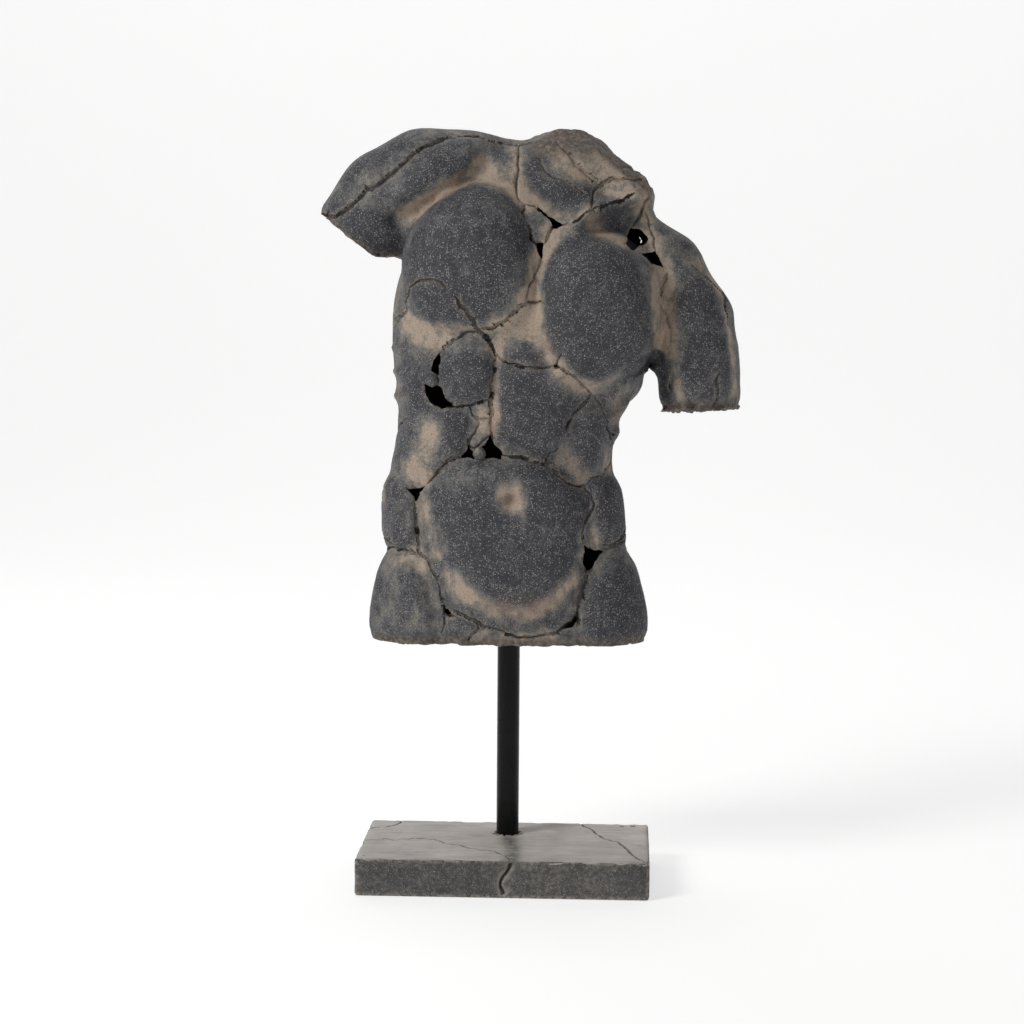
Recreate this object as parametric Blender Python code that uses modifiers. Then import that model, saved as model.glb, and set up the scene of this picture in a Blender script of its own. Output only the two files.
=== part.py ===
"""A broken male torso, cast hollow in dark cast stone, held above a cracked slab by a steel rod.

The torso is worked out from its muscles. Each muscle is a distance function, the functions are blended
into one form, and a remeshed block of primitives is moved onto that form. Places and sizes on the torso
are shares of its height in hundredths, measured from the rod's axis at the torso's underside:
x to the statue's left arm, y to its back, z up. Everything else is in metres.
"""

import math
from collections import namedtuple

import bmesh
import bpy
import numpy as np
from mathutils import Euler, Matrix, Vector

# Plinth: its centre is the origin and its underside is at z = 0.
PLINTH_WIDTH = 0.250
PLINTH_DEPTH = 0.150
PLINTH_HEIGHT = 0.033
PLINTH_EDGE_RADIUS = 0.0022

# Rod: it stands behind the plinth's middle, and its ends sit in a blind hole above and below.
ROD_DIAMETER = 0.0196
ROD_SETBACK = 0.0297
ROD_SHOWING = 0.172
ROD_IN_PLINTH = 0.020
ROD_IN_TORSO = 0.022
ROD_EDGE_RADIUS = 0.0008
ROD_SIDES = 48
FIT_GAP = 0.0003

# Torso: a shell, thicker at the bottom where the rod enters.
TORSO_HEIGHT = 0.445
TORSO_WALL = 0.009
TORSO_FLOOR = 0.034
OUTER_TRIANGLES = 6000
CORE_TRIANGLES = 1500

SHARE = TORSO_HEIGHT / 100
TORSO_UNDERSIDE = PLINTH_HEIGHT + ROD_SHOWING

Section = namedtuple("Section", "z middle half_width front back")
Mass = namedtuple("Mass", "name at radii turn blend")
Bone = namedtuple("Bone", "start end start_radius end_radius depth")
Cut = namedtuple("Cut", "at facing blend")
Limb = namedtuple("Limb", "name bones cuts blend hollow")
Plate = namedtuple("Plate", "name side at half lean taper square lift edge")
Stroke = namedtuple("Stroke", "name side points width lift")
Hole = namedtuple("Hole", "name side depth outline")

FRONT, BACK = -1, 1

# Cross-sections of the trunk, from below the hips to the neck.
TRUNK_SQUARENESS = 2.3
TRUNK_RINGS = 40
RING_POINTS = 48
LIMB_BALLS = 12
SECTIONS = (
    Section(-3, -0.1, 25.4, -12.6, 14.0),
    Section(6, 0.0, 25.9, -12.9, 14.5),
    Section(13, -0.2, 24.4, -13.0, 14.0),
    Section(20, -0.8, 23.0, -12.6, 12.0),
    Section(28, -1.3, 22.5, -12.2, 10.5),
    Section(36, -1.5, 21.6, -12.0, 10.0),
    Section(43, -0.4, 21.8, -12.6, 11.5),
    Section(52, 1.2, 23.4, -13.4, 13.5),
    Section(62, 2.6, 25.0, -13.8, 15.5),
    Section(71, 3.4, 24.6, -13.2, 16.0),
    Section(79, 3.6, 21.0, -11.4, 15.5),
    Section(86, 4.0, 16.0, -8.6, 13.5),
    Section(93, 5.0, 9.0, -5.0, 10.0),
    Section(97, 6.0, 4.0, -2.0, 7.0),
)
TRUNK_TOP = 97

MASSES = (
    Mass("chest_left", (15.5, -6.6, 65.5), (13.8, 9.0, 16.0), (0, 8, 0), 5),
    Mass("chest_right", (-6.6, -6.4, 73.0), (14.2, 8.6, 15.6), (0, -6, 0), 5),
    Mass("lat_right", (-17.6, 4.0, 61.0), (5.4, 9.0, 16.0), (0, 3, 0), 5),
    Mass("lat_left", (21.2, 4.0, 61.0), (5.2, 9.0, 14.0), (0, -8, 0), 5),
    Mass("scapula_right", (-9.0, 9.2, 77.0), (12.0, 7.4, 14.0), (0, -20, 0), 5),
    Mass("scapula_left", (17.0, 9.2, 72.0), (11.4, 7.4, 14.0), (0, 15, 0), 5),
    Mass("buttock_right", (-11.8, 7.6, 4.0), (12.8, 8.8, 14.4), (0, 0, 0), 3),
    Mass("buttock_left", (11.8, 7.6, 4.0), (12.8, 8.8, 14.4), (0, 0, 0), 3),
)

# Limbs are chains of tapered rounds, cut off where they are broken. The left arm is cast solid.
LIMBS = (
    Limb(
        "arm_right",
        (
            Bone((-9, 4, 88.7), (-17, 4, 88.4), 10.6, 11.2, 0.92),
            Bone((-17, 4, 88.4), (-24, 3, 85.8), 11.2, 10.0, 0.92),
            Bone((-24, 3, 85.8), (-37, 2, 70.0), 10.0, 9.0, 0.95),
        ),
        (
            Cut((-30, 0, 77.4), (-0.614, 0.0, -0.789), 0.8),
            Cut((-26, 0, 74.6), (0.0, 0.0, -1.0), 0.8),
        ),
        3.5,
        True,
    ),
    Limb(
        "arm_left",
        (
            Bone((30.0, 2.5, 71.3), (34.2, 1.8, 62.5), 8.0, 8.9, 1.0),
            Bone((34.2, 1.8, 62.5), (36.4, 1.6, 54.0), 8.9, 7.4, 1.0),
            Bone((35.8, -0.6, 56.0), (37.2, -1.0, 40.0), 7.9, 7.7, 0.9),
            Bone((37.0, 2.6, 56.0), (37.8, 2.0, 40.0), 7.2, 7.6, 0.9),
        ),
        (Cut((37, 0, 45.3), (0.05, -0.1, -1.0), 0.8),),
        2.6,
        False,
    ),
    Limb(
        "girdle",
        (
            Bone((12, 4, 84), (29.4, 2.5, 73.4), 8.4, 7.2, 1.0),
            Bone((3, 4, 89.0), (-9, 4, 88.7), 8.6, 10.4, 0.95),
        ),
        (),
        3.5,
        True,
    ),
    Limb(
        "trapezius_left",
        (Bone((12, 5, 90.5), (24.5, 4, 84.6), 7.2, 6.4, 1.0),),
        (Cut((26.9, 0, 87), (1.0, 0.0, 0.12), 0.7),),
        2.0,
        True,
    ),
    Limb(
        "neck",
        (
            Bone((10.5, 4.5, 82), (11.6, 4.0, 106), 8.4, 8.2, 1.0),
            Bone((13, 4, 93), (22, 2.5, 87.5), 6.6, 5.8, 1.0),
        ),
        (
            Cut((11, 1.0, 99.2), (0.04, -0.60, 0.78), 0.8),
            Cut((6.0, 1.0, 98.6), (-0.42, -0.20, 0.88), 0.8),
            Cut((16.2, 1.0, 97.4), (0.62, -0.20, 0.76), 1.0),
            Cut((11, 5.0, 99.6), (0.02, 0.26, 0.96), 0.8),
        ),
        2.0,
        True,
    ),
)
UNDERSIDE = Cut((0, 0, 0), (0.0, 0.0, -1.0), 2.6)

# Muscles and plates raised from the form, and low strokes on it, seen square on: (x, z).
PLATES = (
    Plate("breast_right", FRONT, (-7.2, 75.0), (12.4, 14.8), -6, -0.24, 2.7, 2.9, 5.6),
    Plate("breast_left", FRONT, (16.9, 65.6), (11.4, 14.5), 10, -0.12, 2.6, 3.1, 6.0),
    Plate("shoulder_right", FRONT, (-14.2, 91.0), (10.5, 4.7), 36, 0.1, 2.2, 2.0, 3.6),
    Plate("belly_upper_right", FRONT, (-7.7, 53.8), (5.5, 6.8), 3, 0.0, 3.0, 2.0, 3.4),
    Plate("belly_top_left", FRONT, (3.4, 56.7), (4.7, 2.6), -8, 0.0, 2.2, 1.2, 2.4),
    Plate("belly_upper_left", FRONT, (5.6, 46.6), (7.5, 10.4), 3, 0.12, 2.8, 2.3, 3.8),
    Plate("oblique_left", FRONT, (15.8, 41.2), (4.3, 7.8), -3, 0.0, 2.4, 1.7, 3.4),
    Plate("oblique_right", FRONT, (-14.8, 41.2), (7.4, 7.6), 0, 0.1, 2.4, 1.3, 4.0),
    Plate("belly", FRONT, (-0.2, 20.0), (16.2, 17.2), 0, 0.12, 2.5, 1.6, 3.0),
    Plate("belly_middle", FRONT, (0.5, 22.4), (13.0, 14.6), 0, 0.10, 2.5, 1.5, 4.0),
    Plate("flank_right", FRONT, (-22.8, 25.6), (5.6, 7.6), 0, 0.0, 2.6, 1.6, 3.0),
    Plate("flank_left", FRONT, (21.4, 25.8), (5.8, 7.6), 0, 0.0, 2.6, 1.6, 3.0),
    Plate("hip_right", FRONT, (-22.6, 6.0), (8.6, 12.0), 6, -0.12, 2.6, 2.2, 4.0),
    Plate("hip_left", FRONT, (23.6, 7.0), (8.8, 12.6), -6, -0.12, 2.6, 2.2, 4.0),
    Plate("upper_arm_left", FRONT, (36.8, 57.6), (6.3, 14.6), 3, 0.0, 2.6, 1.0, 3.5),
    Plate("shoulder_blade_right", BACK, (-9.8, 75.0), (7.6, 11.5), 14, 0.34, 2.4, 1.1, 3.0),
    Plate("shoulder_blade_left", BACK, (16.4, 71.0), (7.6, 11.5), -14, 0.34, 2.4, 1.1, 3.0),
    Plate("trapezius", BACK, (4.0, 81.0), (7.6, 15.0), 0, 0.2, 2.0, 0.9, 4.0),
    Plate("lat_back_right", BACK, (-12.8, 52.0), (8.4, 16.0), 8, 0.15, 2.3, 1.3, 5.0),
    Plate("lat_back_left", BACK, (14.4, 50.0), (8.4, 15.0), -8, 0.15, 2.3, 1.3, 5.0),
    Plate("erector_right", BACK, (-5.6, 36.0), (4.2, 20.0), -1, 0.1, 2.3, 1.5, 3.4),
    Plate("erector_left", BACK, (4.6, 35.0), (4.2, 20.0), 1, 0.1, 2.3, 1.5, 3.4),
    Plate("buttock_back_right", BACK, (-12.2, 4.0), (11.2, 13.4), 4, 0.0, 2.3, 1.6, 6.0),
    Plate("buttock_back_left", BACK, (12.2, 4.6), (11.2, 13.4), -4, 0.0, 2.3, 1.6, 6.0),
)
STROKES = (
    Stroke("navel", FRONT, ((0.9, 28.7),), 1.6, -2.0),
    Stroke("shoulder_groove", FRONT, ((-22, 82.3), (-13, 86.7), (-4.8, 93.0)), 1.8, -1.5),
    Stroke("rib_right_1", FRONT, ((-23.8, 57.1), (-16.2, 57.6)), 1.3, 1.0),
    Stroke("rib_right_2", FRONT, ((-24.4, 52.9), (-16.6, 52.2)), 1.3, 1.0),
    Stroke("rib_right_3", FRONT, ((-24.4, 48.3), (-18.0, 47.2)), 1.3, 1.0),
    Stroke("rib_left_1", FRONT, ((21.0, 48.8), (27.1, 53.3)), 1.2, 1.0),
    Stroke("rib_left_2", FRONT, ((19.9, 44.0), (26.2, 48.8)), 1.2, 1.0),
    Stroke("rib_left_3", FRONT, ((20.0, 40.1), (25.3, 44.0)), 1.2, 1.0),
    Stroke("collarbone_left", FRONT, ((12.8, 82.2), (23.8, 87.0)), 2.0, 2.2),
    Stroke("collarbone_hollow", FRONT, ((17.0, 80.6), (23.6, 82.4)), 2.4, -2.0),
    Stroke("throat", FRONT, ((4.0, 89.6), (10.7, 83.6)), 2.6, -1.3),
    Stroke("spine", BACK, ((4.6, 88), (3.0, 62), (-0.6, 36), (0, 18)), 1.8, -1.5),
    Stroke("cleft", BACK, ((0, 16), (0, -2)), 1.8, -2.2),
    Stroke("loin", BACK, ((-15, 20), (0, 16.5), (15, 20)), 2.4, -0.8),
)

# Gaps where the shell is broken through, as their corners seen square on: (x, z).
HOLES = (
    Hole("throat_gap", FRONT, 12, ((5.4, 85.0), (9.0, 82.2), (11.6, 81.6), (9.6, 80.4), (7.4, 81.6))),
    Hole("rib_slot", FRONT, 13, ((-12.7, 56.6), (-14.3, 55.2), (-14.8, 52.9), (-13.0, 52.6))),
    Hole("rib_gap", FRONT, 13, ((-15.8, 51.0), (-14.9, 47.7), (-12.6, 46.2), (-9.9, 46.7), (-12.9, 50.7))),
    Hole("waist_gap_right", FRONT, 13, ((-7.3, 39.9), (-8.8, 36.9), (-6.1, 36.7))),
    Hole("waist_gap_left", FRONT, 13, ((-2.8, 41.6), (-5.0, 38.9), (-4.2, 36.9), (-0.8, 36.8))),
    Hole("flank_gap_right", FRONT, 13, ((-19.2, 31.1), (-15.4, 31.7), (-17.5, 28.3))),
    Hole("hip_gap_left", FRONT, 13, ((14.9, 20.5), (19.0, 19.5), (17.2, 17.1), (15.2, 15.6))),
    Hole("armpit_gap_left", FRONT, 12, ((24.9, 75.9), (28.0, 76.7), (29.4, 73.3), (27.0, 73.6))),
    Hole("shoulder_gap", FRONT, 26, ((23.0, 80.9), (21.9, 77.9), (23.0, 76.5), (24.8, 77.0), (26.6, 78.7))),
    Hole("back_gap_upper", BACK, 12, ((-10.5, 62.5), (-6.6, 64.0), (-5.4, 60.8), (-8.8, 59.4))),
    Hole("back_gap_lower", BACK, 12, ((9.6, 27.4), (12.6, 28.6), (14.0, 25.0), (10.8, 24.0))),
)
# The gap in the shoulder shows daylight through a smaller one in the back wall.
DAYLIGHT = Hole("shoulder_gap_back", BACK, 12, ((24.6, 80.2), (24.3, 77.4), (26.0, 76.8), (26.2, 79.4)))

# A hole's cutter starts clear of the body, and its depth counts from this far out.
CLEAR_OF_BODY = 26
HOLE_START = 14

# Voxel sizes, in shares of the torso's height.
OUTER_VOXEL = 1.3
CORE_VOXEL = 2.2
SETTLE_STEPS = 9
STEP_LIMIT = 1.5
CORE_SHRINK = 0.9


def smooth_min(a, b, blend):
    """The lesser of two distances, with the step between them rounded over the blend."""
    h = np.maximum(blend - np.abs(a - b), 0) / blend
    return np.minimum(a, b) - h * h * h * blend / 6


def smooth_max(a, b, blend):
    return -smooth_min(-a, -b, blend)


def smooth_step(low, high, value):
    t = np.clip((value - low) / (high - low), 0, 1)
    return t * t * (3 - 2 * t)


def section_value(z, name):
    """A section's measure at any height, on a smooth curve through the sections."""
    heights = np.array([s.z for s in SECTIONS], float)
    values = np.array([getattr(s, name) for s in SECTIONS], float)
    slopes = np.gradient(values, heights)
    i = np.clip(np.searchsorted(heights, z) - 1, 0, len(heights) - 2)
    step = heights[i + 1] - heights[i]
    t = np.clip((z - heights[i]) / step, 0, 1)
    t2, t3 = t * t, t * t * t
    rise = (t3 - 2 * t2 + t) * slopes[i] + (t3 - t2) * slopes[i + 1]
    return (2 * t3 - 3 * t2 + 1) * values[i] + (3 * t2 - 2 * t3) * values[i + 1] + rise * step


def trunk_distance(p):
    """Distance from the lofted trunk, whose sections are rounded rectangles."""
    x, y, z = p.T
    n = TRUNK_SQUARENESS
    width = section_value(z, "half_width")
    front = section_value(z, "front")
    back = section_value(z, "back")
    depth = (back - front) / 2
    across = np.abs(x - section_value(z, "middle")) / width
    through = np.abs(y - (front + back) / 2) / depth
    reach = np.maximum(across**n + through**n, 1e-9) ** (1 / n)
    slope = reach ** (1 - n) * np.hypot(across ** (n - 1) / width, through ** (n - 1) / depth)
    return smooth_max((reach - 1) / np.maximum(slope, 1e-3), z - TRUNK_TOP, 3)


def turn_matrix(turn):
    return np.array(Euler([math.radians(a) for a in turn]).to_matrix())


def mass_distance(p, mass):
    q = (p - np.array(mass.at, float)) @ turn_matrix(mass.turn)
    r = np.array(mass.radii, float)
    near = np.sqrt(((q / r) ** 2).sum(1))
    slope = np.sqrt(((q / (r * r)) ** 2).sum(1))
    return near * (near - 1) / np.maximum(slope, 1e-6)


def bone_distance(p, bone):
    start, end = np.array(bone.start, float), np.array(bone.end, float)
    run = end - start
    t = np.clip(((p - start) @ run) / (run @ run), 0, 1)
    q = p - start - t[:, None] * run
    q[:, 1] /= bone.depth
    radius = bone.start_radius + (bone.end_radius - bone.start_radius) * t
    return (np.sqrt((q * q).sum(1)) - radius) * min(1, bone.depth)


def cut_distance(p, cut):
    facing = np.array(cut.facing, float)
    return (p - np.array(cut.at, float)) @ (facing / np.linalg.norm(facing))


def limb_distance(p, limb):
    found = None
    for bone in limb.bones:
        one = bone_distance(p, bone)
        found = one if found is None else smooth_min(found, one, 3.0)
    for cut in limb.cuts:
        found = smooth_max(found, cut_distance(p, cut), cut.blend)
    return found


def body_distance(p, limbs=LIMBS):
    """Distance from the body without its plates and strokes."""
    found = trunk_distance(p)
    for mass in MASSES:
        found = smooth_min(found, mass_distance(p, mass), mass.blend)
    for limb in limbs:
        found = smooth_min(found, limb_distance(p, limb), limb.blend)
    return found


def plate_lift(x, z, plate):
    """How far a plate raises the surface: flat in its middle, falling off to nothing at its edge."""
    lean = math.radians(plate.lean)
    dx, dz = x - plate.at[0], z - plate.at[1]
    along = (dx * math.cos(lean) + dz * math.sin(lean)) / plate.half[0]
    up = (dz * math.cos(lean) - dx * math.sin(lean)) / plate.half[1]
    along = along / (1 + plate.taper * np.clip(up, -1, 1))
    lift = np.zeros(len(x))
    near = (np.abs(along) < 1) & (np.abs(up) < 1)
    n = plate.square
    reach = (np.abs(along[near]) ** n + np.abs(up[near]) ** n) ** (1 / n)
    inward = np.clip((1 - reach) * min(plate.half) / plate.edge, 0, 1)
    lift[near] = plate.lift * (1 - (1 - inward) ** 2.2)
    return lift


def stroke_lift(x, z, stroke):
    """How far a stroke raises the surface, or lowers it, along its line."""
    points = stroke.points
    nearest = np.full(len(x), np.inf)
    for (x0, z0), (x1, z1) in zip(points, points[1:] or points):
        dx, dz = x1 - x0, z1 - z0
        t = np.clip(((x - x0) * dx + (z - z0) * dz) / max(dx * dx + dz * dz, 1e-9), 0, 1)
        nearest = np.minimum(nearest, (x - x0 - t * dx) ** 2 + (z - z0 - t * dz) ** 2)
    return stroke.lift * np.exp(-nearest / stroke.width**2)


def relief(p):
    """The height of all plates and strokes, each on its own side of the body."""
    x, y, z = p.T
    weights = {FRONT: smooth_step(1.5, -4.5, y), BACK: smooth_step(3.0, 9.0, y)}
    height = np.zeros(len(p))
    for plate in PLATES:
        height += plate_lift(x, z, plate) * weights[plate.side]
    for stroke in STROKES:
        height += stroke_lift(x, z, stroke) * weights[stroke.side]
    return height


def outer_distance(p):
    """Distance from the torso's outer face."""
    found = body_distance(p) - relief(p)
    return smooth_max(found, cut_distance(p, UNDERSIDE), UNDERSIDE.blend)


def core_distance(p):
    """Distance from the hollow: a wall inside the body, and further in behind each groove."""
    wall = TORSO_WALL / SHARE + np.maximum(-relief(p), 0)
    hollow_body = body_distance(p, [limb for limb in LIMBS if limb.hollow])
    return smooth_max(hollow_body + wall, TORSO_FLOOR / SHARE - p[:, 2], 1.5)


def slopes_of(distance, p, here, step=0.1):
    found = np.zeros_like(p)
    for axis in range(3):
        shift = np.zeros(3)
        shift[axis] = step
        found[:, axis] = (distance(p + shift) - here) / step
    return found


def points_of(mesh):
    flat = np.empty(len(mesh.vertices) * 3)
    mesh.vertices.foreach_get("co", flat)
    return flat.reshape(-1, 3)


def set_points(mesh, points):
    mesh.vertices.foreach_set("co", np.asarray(points, np.float32).ravel())
    mesh.update()


def settle(mesh, distance, steps=SETTLE_STEPS):
    """Moves a mesh onto the surface where the distance is zero, and evens out its points along it."""
    points = points_of(mesh)
    ends = np.empty(len(mesh.edges) * 2, int)
    mesh.edges.foreach_get("vertices", ends)
    ends = ends.reshape(-1, 2)
    count = np.bincount(ends.ravel(), minlength=len(points))[:, None]
    for step in range(steps):
        here = distance(points)
        slopes = slopes_of(distance, points, here)
        square = np.maximum((slopes * slopes).sum(1), 0.05)[:, None]
        move = -(here[:, None] / square) * slopes
        length = np.linalg.norm(move, axis=1)[:, None]
        points = points + move * np.minimum(1, STEP_LIMIT / np.maximum(length, 1e-9))
        if step >= steps - 2:
            continue
        around = np.zeros_like(points)
        for axis in range(3):
            around[:, axis] += np.bincount(ends[:, 0], points[ends[:, 1], axis], len(points))
            around[:, axis] += np.bincount(ends[:, 1], points[ends[:, 0], axis], len(points))
        drift = around / count - points
        normal = slopes / np.sqrt(square)
        drift -= (drift * normal).sum(1)[:, None] * normal
        points = points + 0.5 * drift
    set_points(mesh, points)


def add_trunk_loft(bm, inset):
    """A rough loft through the trunk's sections, pulled in by the inset."""
    rings = []
    bottom = SECTIONS[0].z if inset == 0 else TORSO_FLOOR / SHARE
    for z in np.linspace(bottom, TRUNK_TOP - inset, TRUNK_RINGS):
        at = np.array([z])
        width = section_value(at, "half_width")[0] - inset
        front = section_value(at, "front")[0] + inset
        back = section_value(at, "back")[0] - inset
        middle = section_value(at, "middle")[0]
        if width < 1 or back - front < 2:
            break
        ring = []
        for step in range(RING_POINTS):
            angle = math.tau * step / RING_POINTS
            c, s = math.cos(angle), math.sin(angle)
            across = math.copysign(abs(c) ** (2 / TRUNK_SQUARENESS), c)
            through = math.copysign(abs(s) ** (2 / TRUNK_SQUARENESS), s)
            y = (front + back) / 2 + (back - front) / 2 * through
            ring.append(bm.verts.new((middle + width * across, y, z)))
        rings.append(ring)
    for low, high in zip(rings, rings[1:]):
        for i in range(RING_POINTS):
            j = (i + 1) % RING_POINTS
            bm.faces.new((low[i], low[j], high[j], high[i]))
    bm.faces.new(rings[0][::-1])
    bm.faces.new(rings[-1])


def add_ball(bm, at, radii):
    place = Matrix.Translation(at) @ Matrix.Diagonal((*radii, 1))
    bmesh.ops.create_icosphere(bm, subdivisions=3, radius=1, matrix=place)


def add_limb_balls(bm, limb, inset):
    """Rounds along each bone, left out where a break has taken them away."""
    for bone in limb.bones:
        start, end = Vector(bone.start), Vector(bone.end)
        for step in range(LIMB_BALLS):
            t = step / (LIMB_BALLS - 1)
            at = start.lerp(end, t)
            radius = bone.start_radius + (bone.end_radius - bone.start_radius) * t - inset
            past = max([cut_distance(np.array([at]), cut)[0] for cut in limb.cuts] or [-radius])
            radius = min(radius, radius * 0.5 - past)
            if radius > 1.5:
                add_ball(bm, at, (radius, radius * bone.depth, radius))


def block_out(name, inset, voxel):
    """One closed mesh near the form: overlapping primitives, joined by a voxel remesh."""
    bm = bmesh.new()
    add_trunk_loft(bm, inset)
    for mass in MASSES:
        if inset and mass.at[2] < TORSO_FLOOR / SHARE:
            continue
        radii = [r - inset for r in mass.radii]
        place = Matrix.Translation(mass.at) @ Matrix(turn_matrix(mass.turn).tolist()).to_4x4()
        place = place @ Matrix.Diagonal((*radii, 1))
        bmesh.ops.create_icosphere(bm, subdivisions=3, radius=1, matrix=place)
    for limb in LIMBS:
        if limb.hollow or not inset:
            add_limb_balls(bm, limb, inset)
    block = new_object(name + "_block", bm, bpy.context.scene.collection)
    remesh = block.modifiers.new("Remesh", "REMESH")
    remesh.mode = "VOXEL"
    remesh.voxel_size = voxel
    mesh = evaluated_mesh(block)
    bpy.data.objects.remove(block)
    return mesh


def evaluated_mesh(obj):
    graph = bpy.context.evaluated_depsgraph_get()
    return bpy.data.meshes.new_from_object(obj.evaluated_get(graph))


def new_object(name, bm, collection):
    mesh = bpy.data.meshes.new(name)
    bm.to_mesh(mesh)
    bm.free()
    obj = bpy.data.objects.new(name, mesh)
    collection.objects.link(obj)
    return obj


def keep_largest(mesh):
    """Drops the slivers that thinning leaves hanging on one edge, and any part of a hollow that is cut off."""
    bm = bmesh.new()
    bm.from_mesh(mesh)
    bm.faces.ensure_lookup_table()
    group_of = [-1] * len(bm.faces)
    groups = []
    for first in bm.faces:
        if group_of[first.index] >= 0:
            continue
        group_of[first.index] = len(groups)
        group = [first]
        for face in group:
            for edge in face.edges:
                if len(edge.link_faces) != 2:
                    continue
                for other in edge.link_faces:
                    if group_of[other.index] < 0:
                        group_of[other.index] = len(groups)
                        group.append(other)
        groups.append(group)
    groups.sort(key=len)
    bmesh.ops.delete(bm, geom=[f for group in groups[:-1] for f in group], context="FACES_ONLY")
    bmesh.ops.delete(bm, geom=[e for e in bm.edges if not e.link_faces], context="EDGES")
    bmesh.ops.delete(bm, geom=[v for v in bm.verts if not v.link_faces], context="VERTS")
    bm.to_mesh(mesh)
    bm.free()


def to_place():
    """From shares of the torso to metres in the part."""
    return Matrix.Translation((0, ROD_SETBACK, TORSO_UNDERSIDE)) @ Matrix.Scale(SHARE, 4)


def formed_object(name, distance, inset, voxel, triangles, collection):
    """A block settled on a distance, thinned to a number of triangles and put in its place in metres."""
    mesh = block_out(name, inset, voxel)
    settle(mesh, distance)
    obj = bpy.data.objects.new(name, mesh)
    collection.objects.link(obj)
    faces = sum(len(p.vertices) - 2 for p in mesh.polygons)
    thin = obj.modifiers.new("Decimate", "DECIMATE")
    thin.ratio = min(1, triangles / faces)
    obj.data = evaluated_mesh(obj)
    obj.modifiers.clear()
    keep_largest(obj.data)
    obj.data.transform(to_place())
    return obj


def hole_cutter(hole, collection):
    """A prism through the wall, from clear of the body on the hole's side to the hole's depth."""
    bm = bmesh.new()
    near = []
    far = []
    for x, z in hole.outline:
        near.append(bm.verts.new((x, hole.side * CLEAR_OF_BODY, z)))
        far.append(bm.verts.new((x, hole.side * (HOLE_START - hole.depth), z)))
    bm.faces.new(near)
    bm.faces.new(far[::-1])
    for i in range(len(near)):
        j = (i + 1) % len(near)
        bm.faces.new((near[j], near[i], far[i], far[j]))
    bmesh.ops.triangulate(bm, faces=[f for f in bm.faces if len(f.verts) > 4])
    bmesh.ops.recalc_face_normals(bm, faces=bm.faces)
    obj = new_object("cut_" + hole.name, bm, collection)
    obj.data.transform(to_place())
    return obj


def cylinder(name, radius, bottom, top, collection):
    bm = bmesh.new()
    place = Matrix.Translation((0, ROD_SETBACK, (bottom + top) / 2))
    bmesh.ops.create_cone(
        bm, cap_ends=True, segments=ROD_SIDES, radius1=radius, radius2=radius, depth=top - bottom, matrix=place
    )
    return new_object(name, bm, collection)


def cut(target, cutter):
    boolean = target.modifiers.new(cutter.name, "BOOLEAN")
    boolean.operation = "DIFFERENCE"
    boolean.solver = "MANIFOLD"
    boolean.object = cutter


def bevel(obj, width, segments):
    edge = obj.modifiers.new("Bevel", "BEVEL")
    edge.width = width
    edge.segments = segments
    edge.limit_method = "ANGLE"
    edge.harden_normals = False


def material(name, colour, roughness, metallic=0.0):
    found = bpy.data.materials.new(name)
    found.use_nodes = True
    shader = found.node_tree.nodes["Principled BSDF"]
    shader.inputs["Base Color"].default_value = (*colour, 1)
    shader.inputs["Roughness"].default_value = roughness
    shader.inputs["Metallic"].default_value = metallic
    return found


def dress(obj, finish, smooth_angle=40):
    obj.data.materials.clear()
    obj.data.materials.append(finish)
    obj.data.shade_smooth()
    obj.data.set_sharp_from_angle(angle=math.radians(smooth_angle))


def make_torso(parts, cutters):
    torso = formed_object("torso", outer_distance, 0, OUTER_VOXEL, OUTER_TRIANGLES, parts)
    inset = TORSO_WALL / SHARE / CORE_SHRINK
    core = formed_object("cut_hollow", core_distance, inset, CORE_VOXEL, CORE_TRIANGLES, cutters)
    cut(torso, core)
    for hole in HOLES:
        cut(torso, hole_cutter(hole, cutters))
    cut(torso, hole_cutter(DAYLIGHT, cutters))
    seat_top = TORSO_UNDERSIDE + ROD_IN_TORSO + FIT_GAP
    radius = ROD_DIAMETER / 2 + FIT_GAP
    cut(torso, cylinder("cut_torso_seat", radius, TORSO_UNDERSIDE - 0.01, seat_top, cutters))
    dress(torso, material("dark_cast_stone", (0.06, 0.065, 0.075), 0.85), 60)
    return torso


def make_rod(parts):
    bottom = PLINTH_HEIGHT - ROD_IN_PLINTH
    rod = cylinder("rod", ROD_DIAMETER / 2, bottom, TORSO_UNDERSIDE + ROD_IN_TORSO, parts)
    bevel(rod, ROD_EDGE_RADIUS, 2)
    dress(rod, material("blackened_steel", (0.012, 0.012, 0.013), 0.4, 0.6))
    return rod


def make_plinth(parts, cutters):
    bm = bmesh.new()
    size = Matrix.Diagonal((PLINTH_WIDTH, PLINTH_DEPTH, PLINTH_HEIGHT, 1))
    bmesh.ops.create_cube(bm, size=1, matrix=Matrix.Translation((0, 0, PLINTH_HEIGHT / 2)) @ size)
    plinth = new_object("plinth", bm, parts)
    bevel(plinth, PLINTH_EDGE_RADIUS, 3)
    seat_bottom = PLINTH_HEIGHT - ROD_IN_PLINTH - FIT_GAP
    radius = ROD_DIAMETER / 2 + FIT_GAP
    cut(plinth, cylinder("cut_plinth_seat", radius, seat_bottom, PLINTH_HEIGHT + 0.01, cutters))
    dress(plinth, material("grey_cast_stone", (0.30, 0.28, 0.26), 0.85))
    return plinth


def collection(name, is_cutters=False):
    found = bpy.data.collections.new(name)
    bpy.context.scene.collection.children.link(found)
    found.hide_render = is_cutters
    return found


def build():
    for obj in list(bpy.data.objects):
        bpy.data.objects.remove(obj)
    parts = collection("torso_on_plinth")
    cutters = collection("cutters", is_cutters=True)
    make_plinth(parts, cutters)
    make_rod(parts)
    make_torso(parts, cutters)
    for cutter in cutters.objects:
        cutter.hide_render = True
        cutter.display_type = "WIRE"


build()
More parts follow.
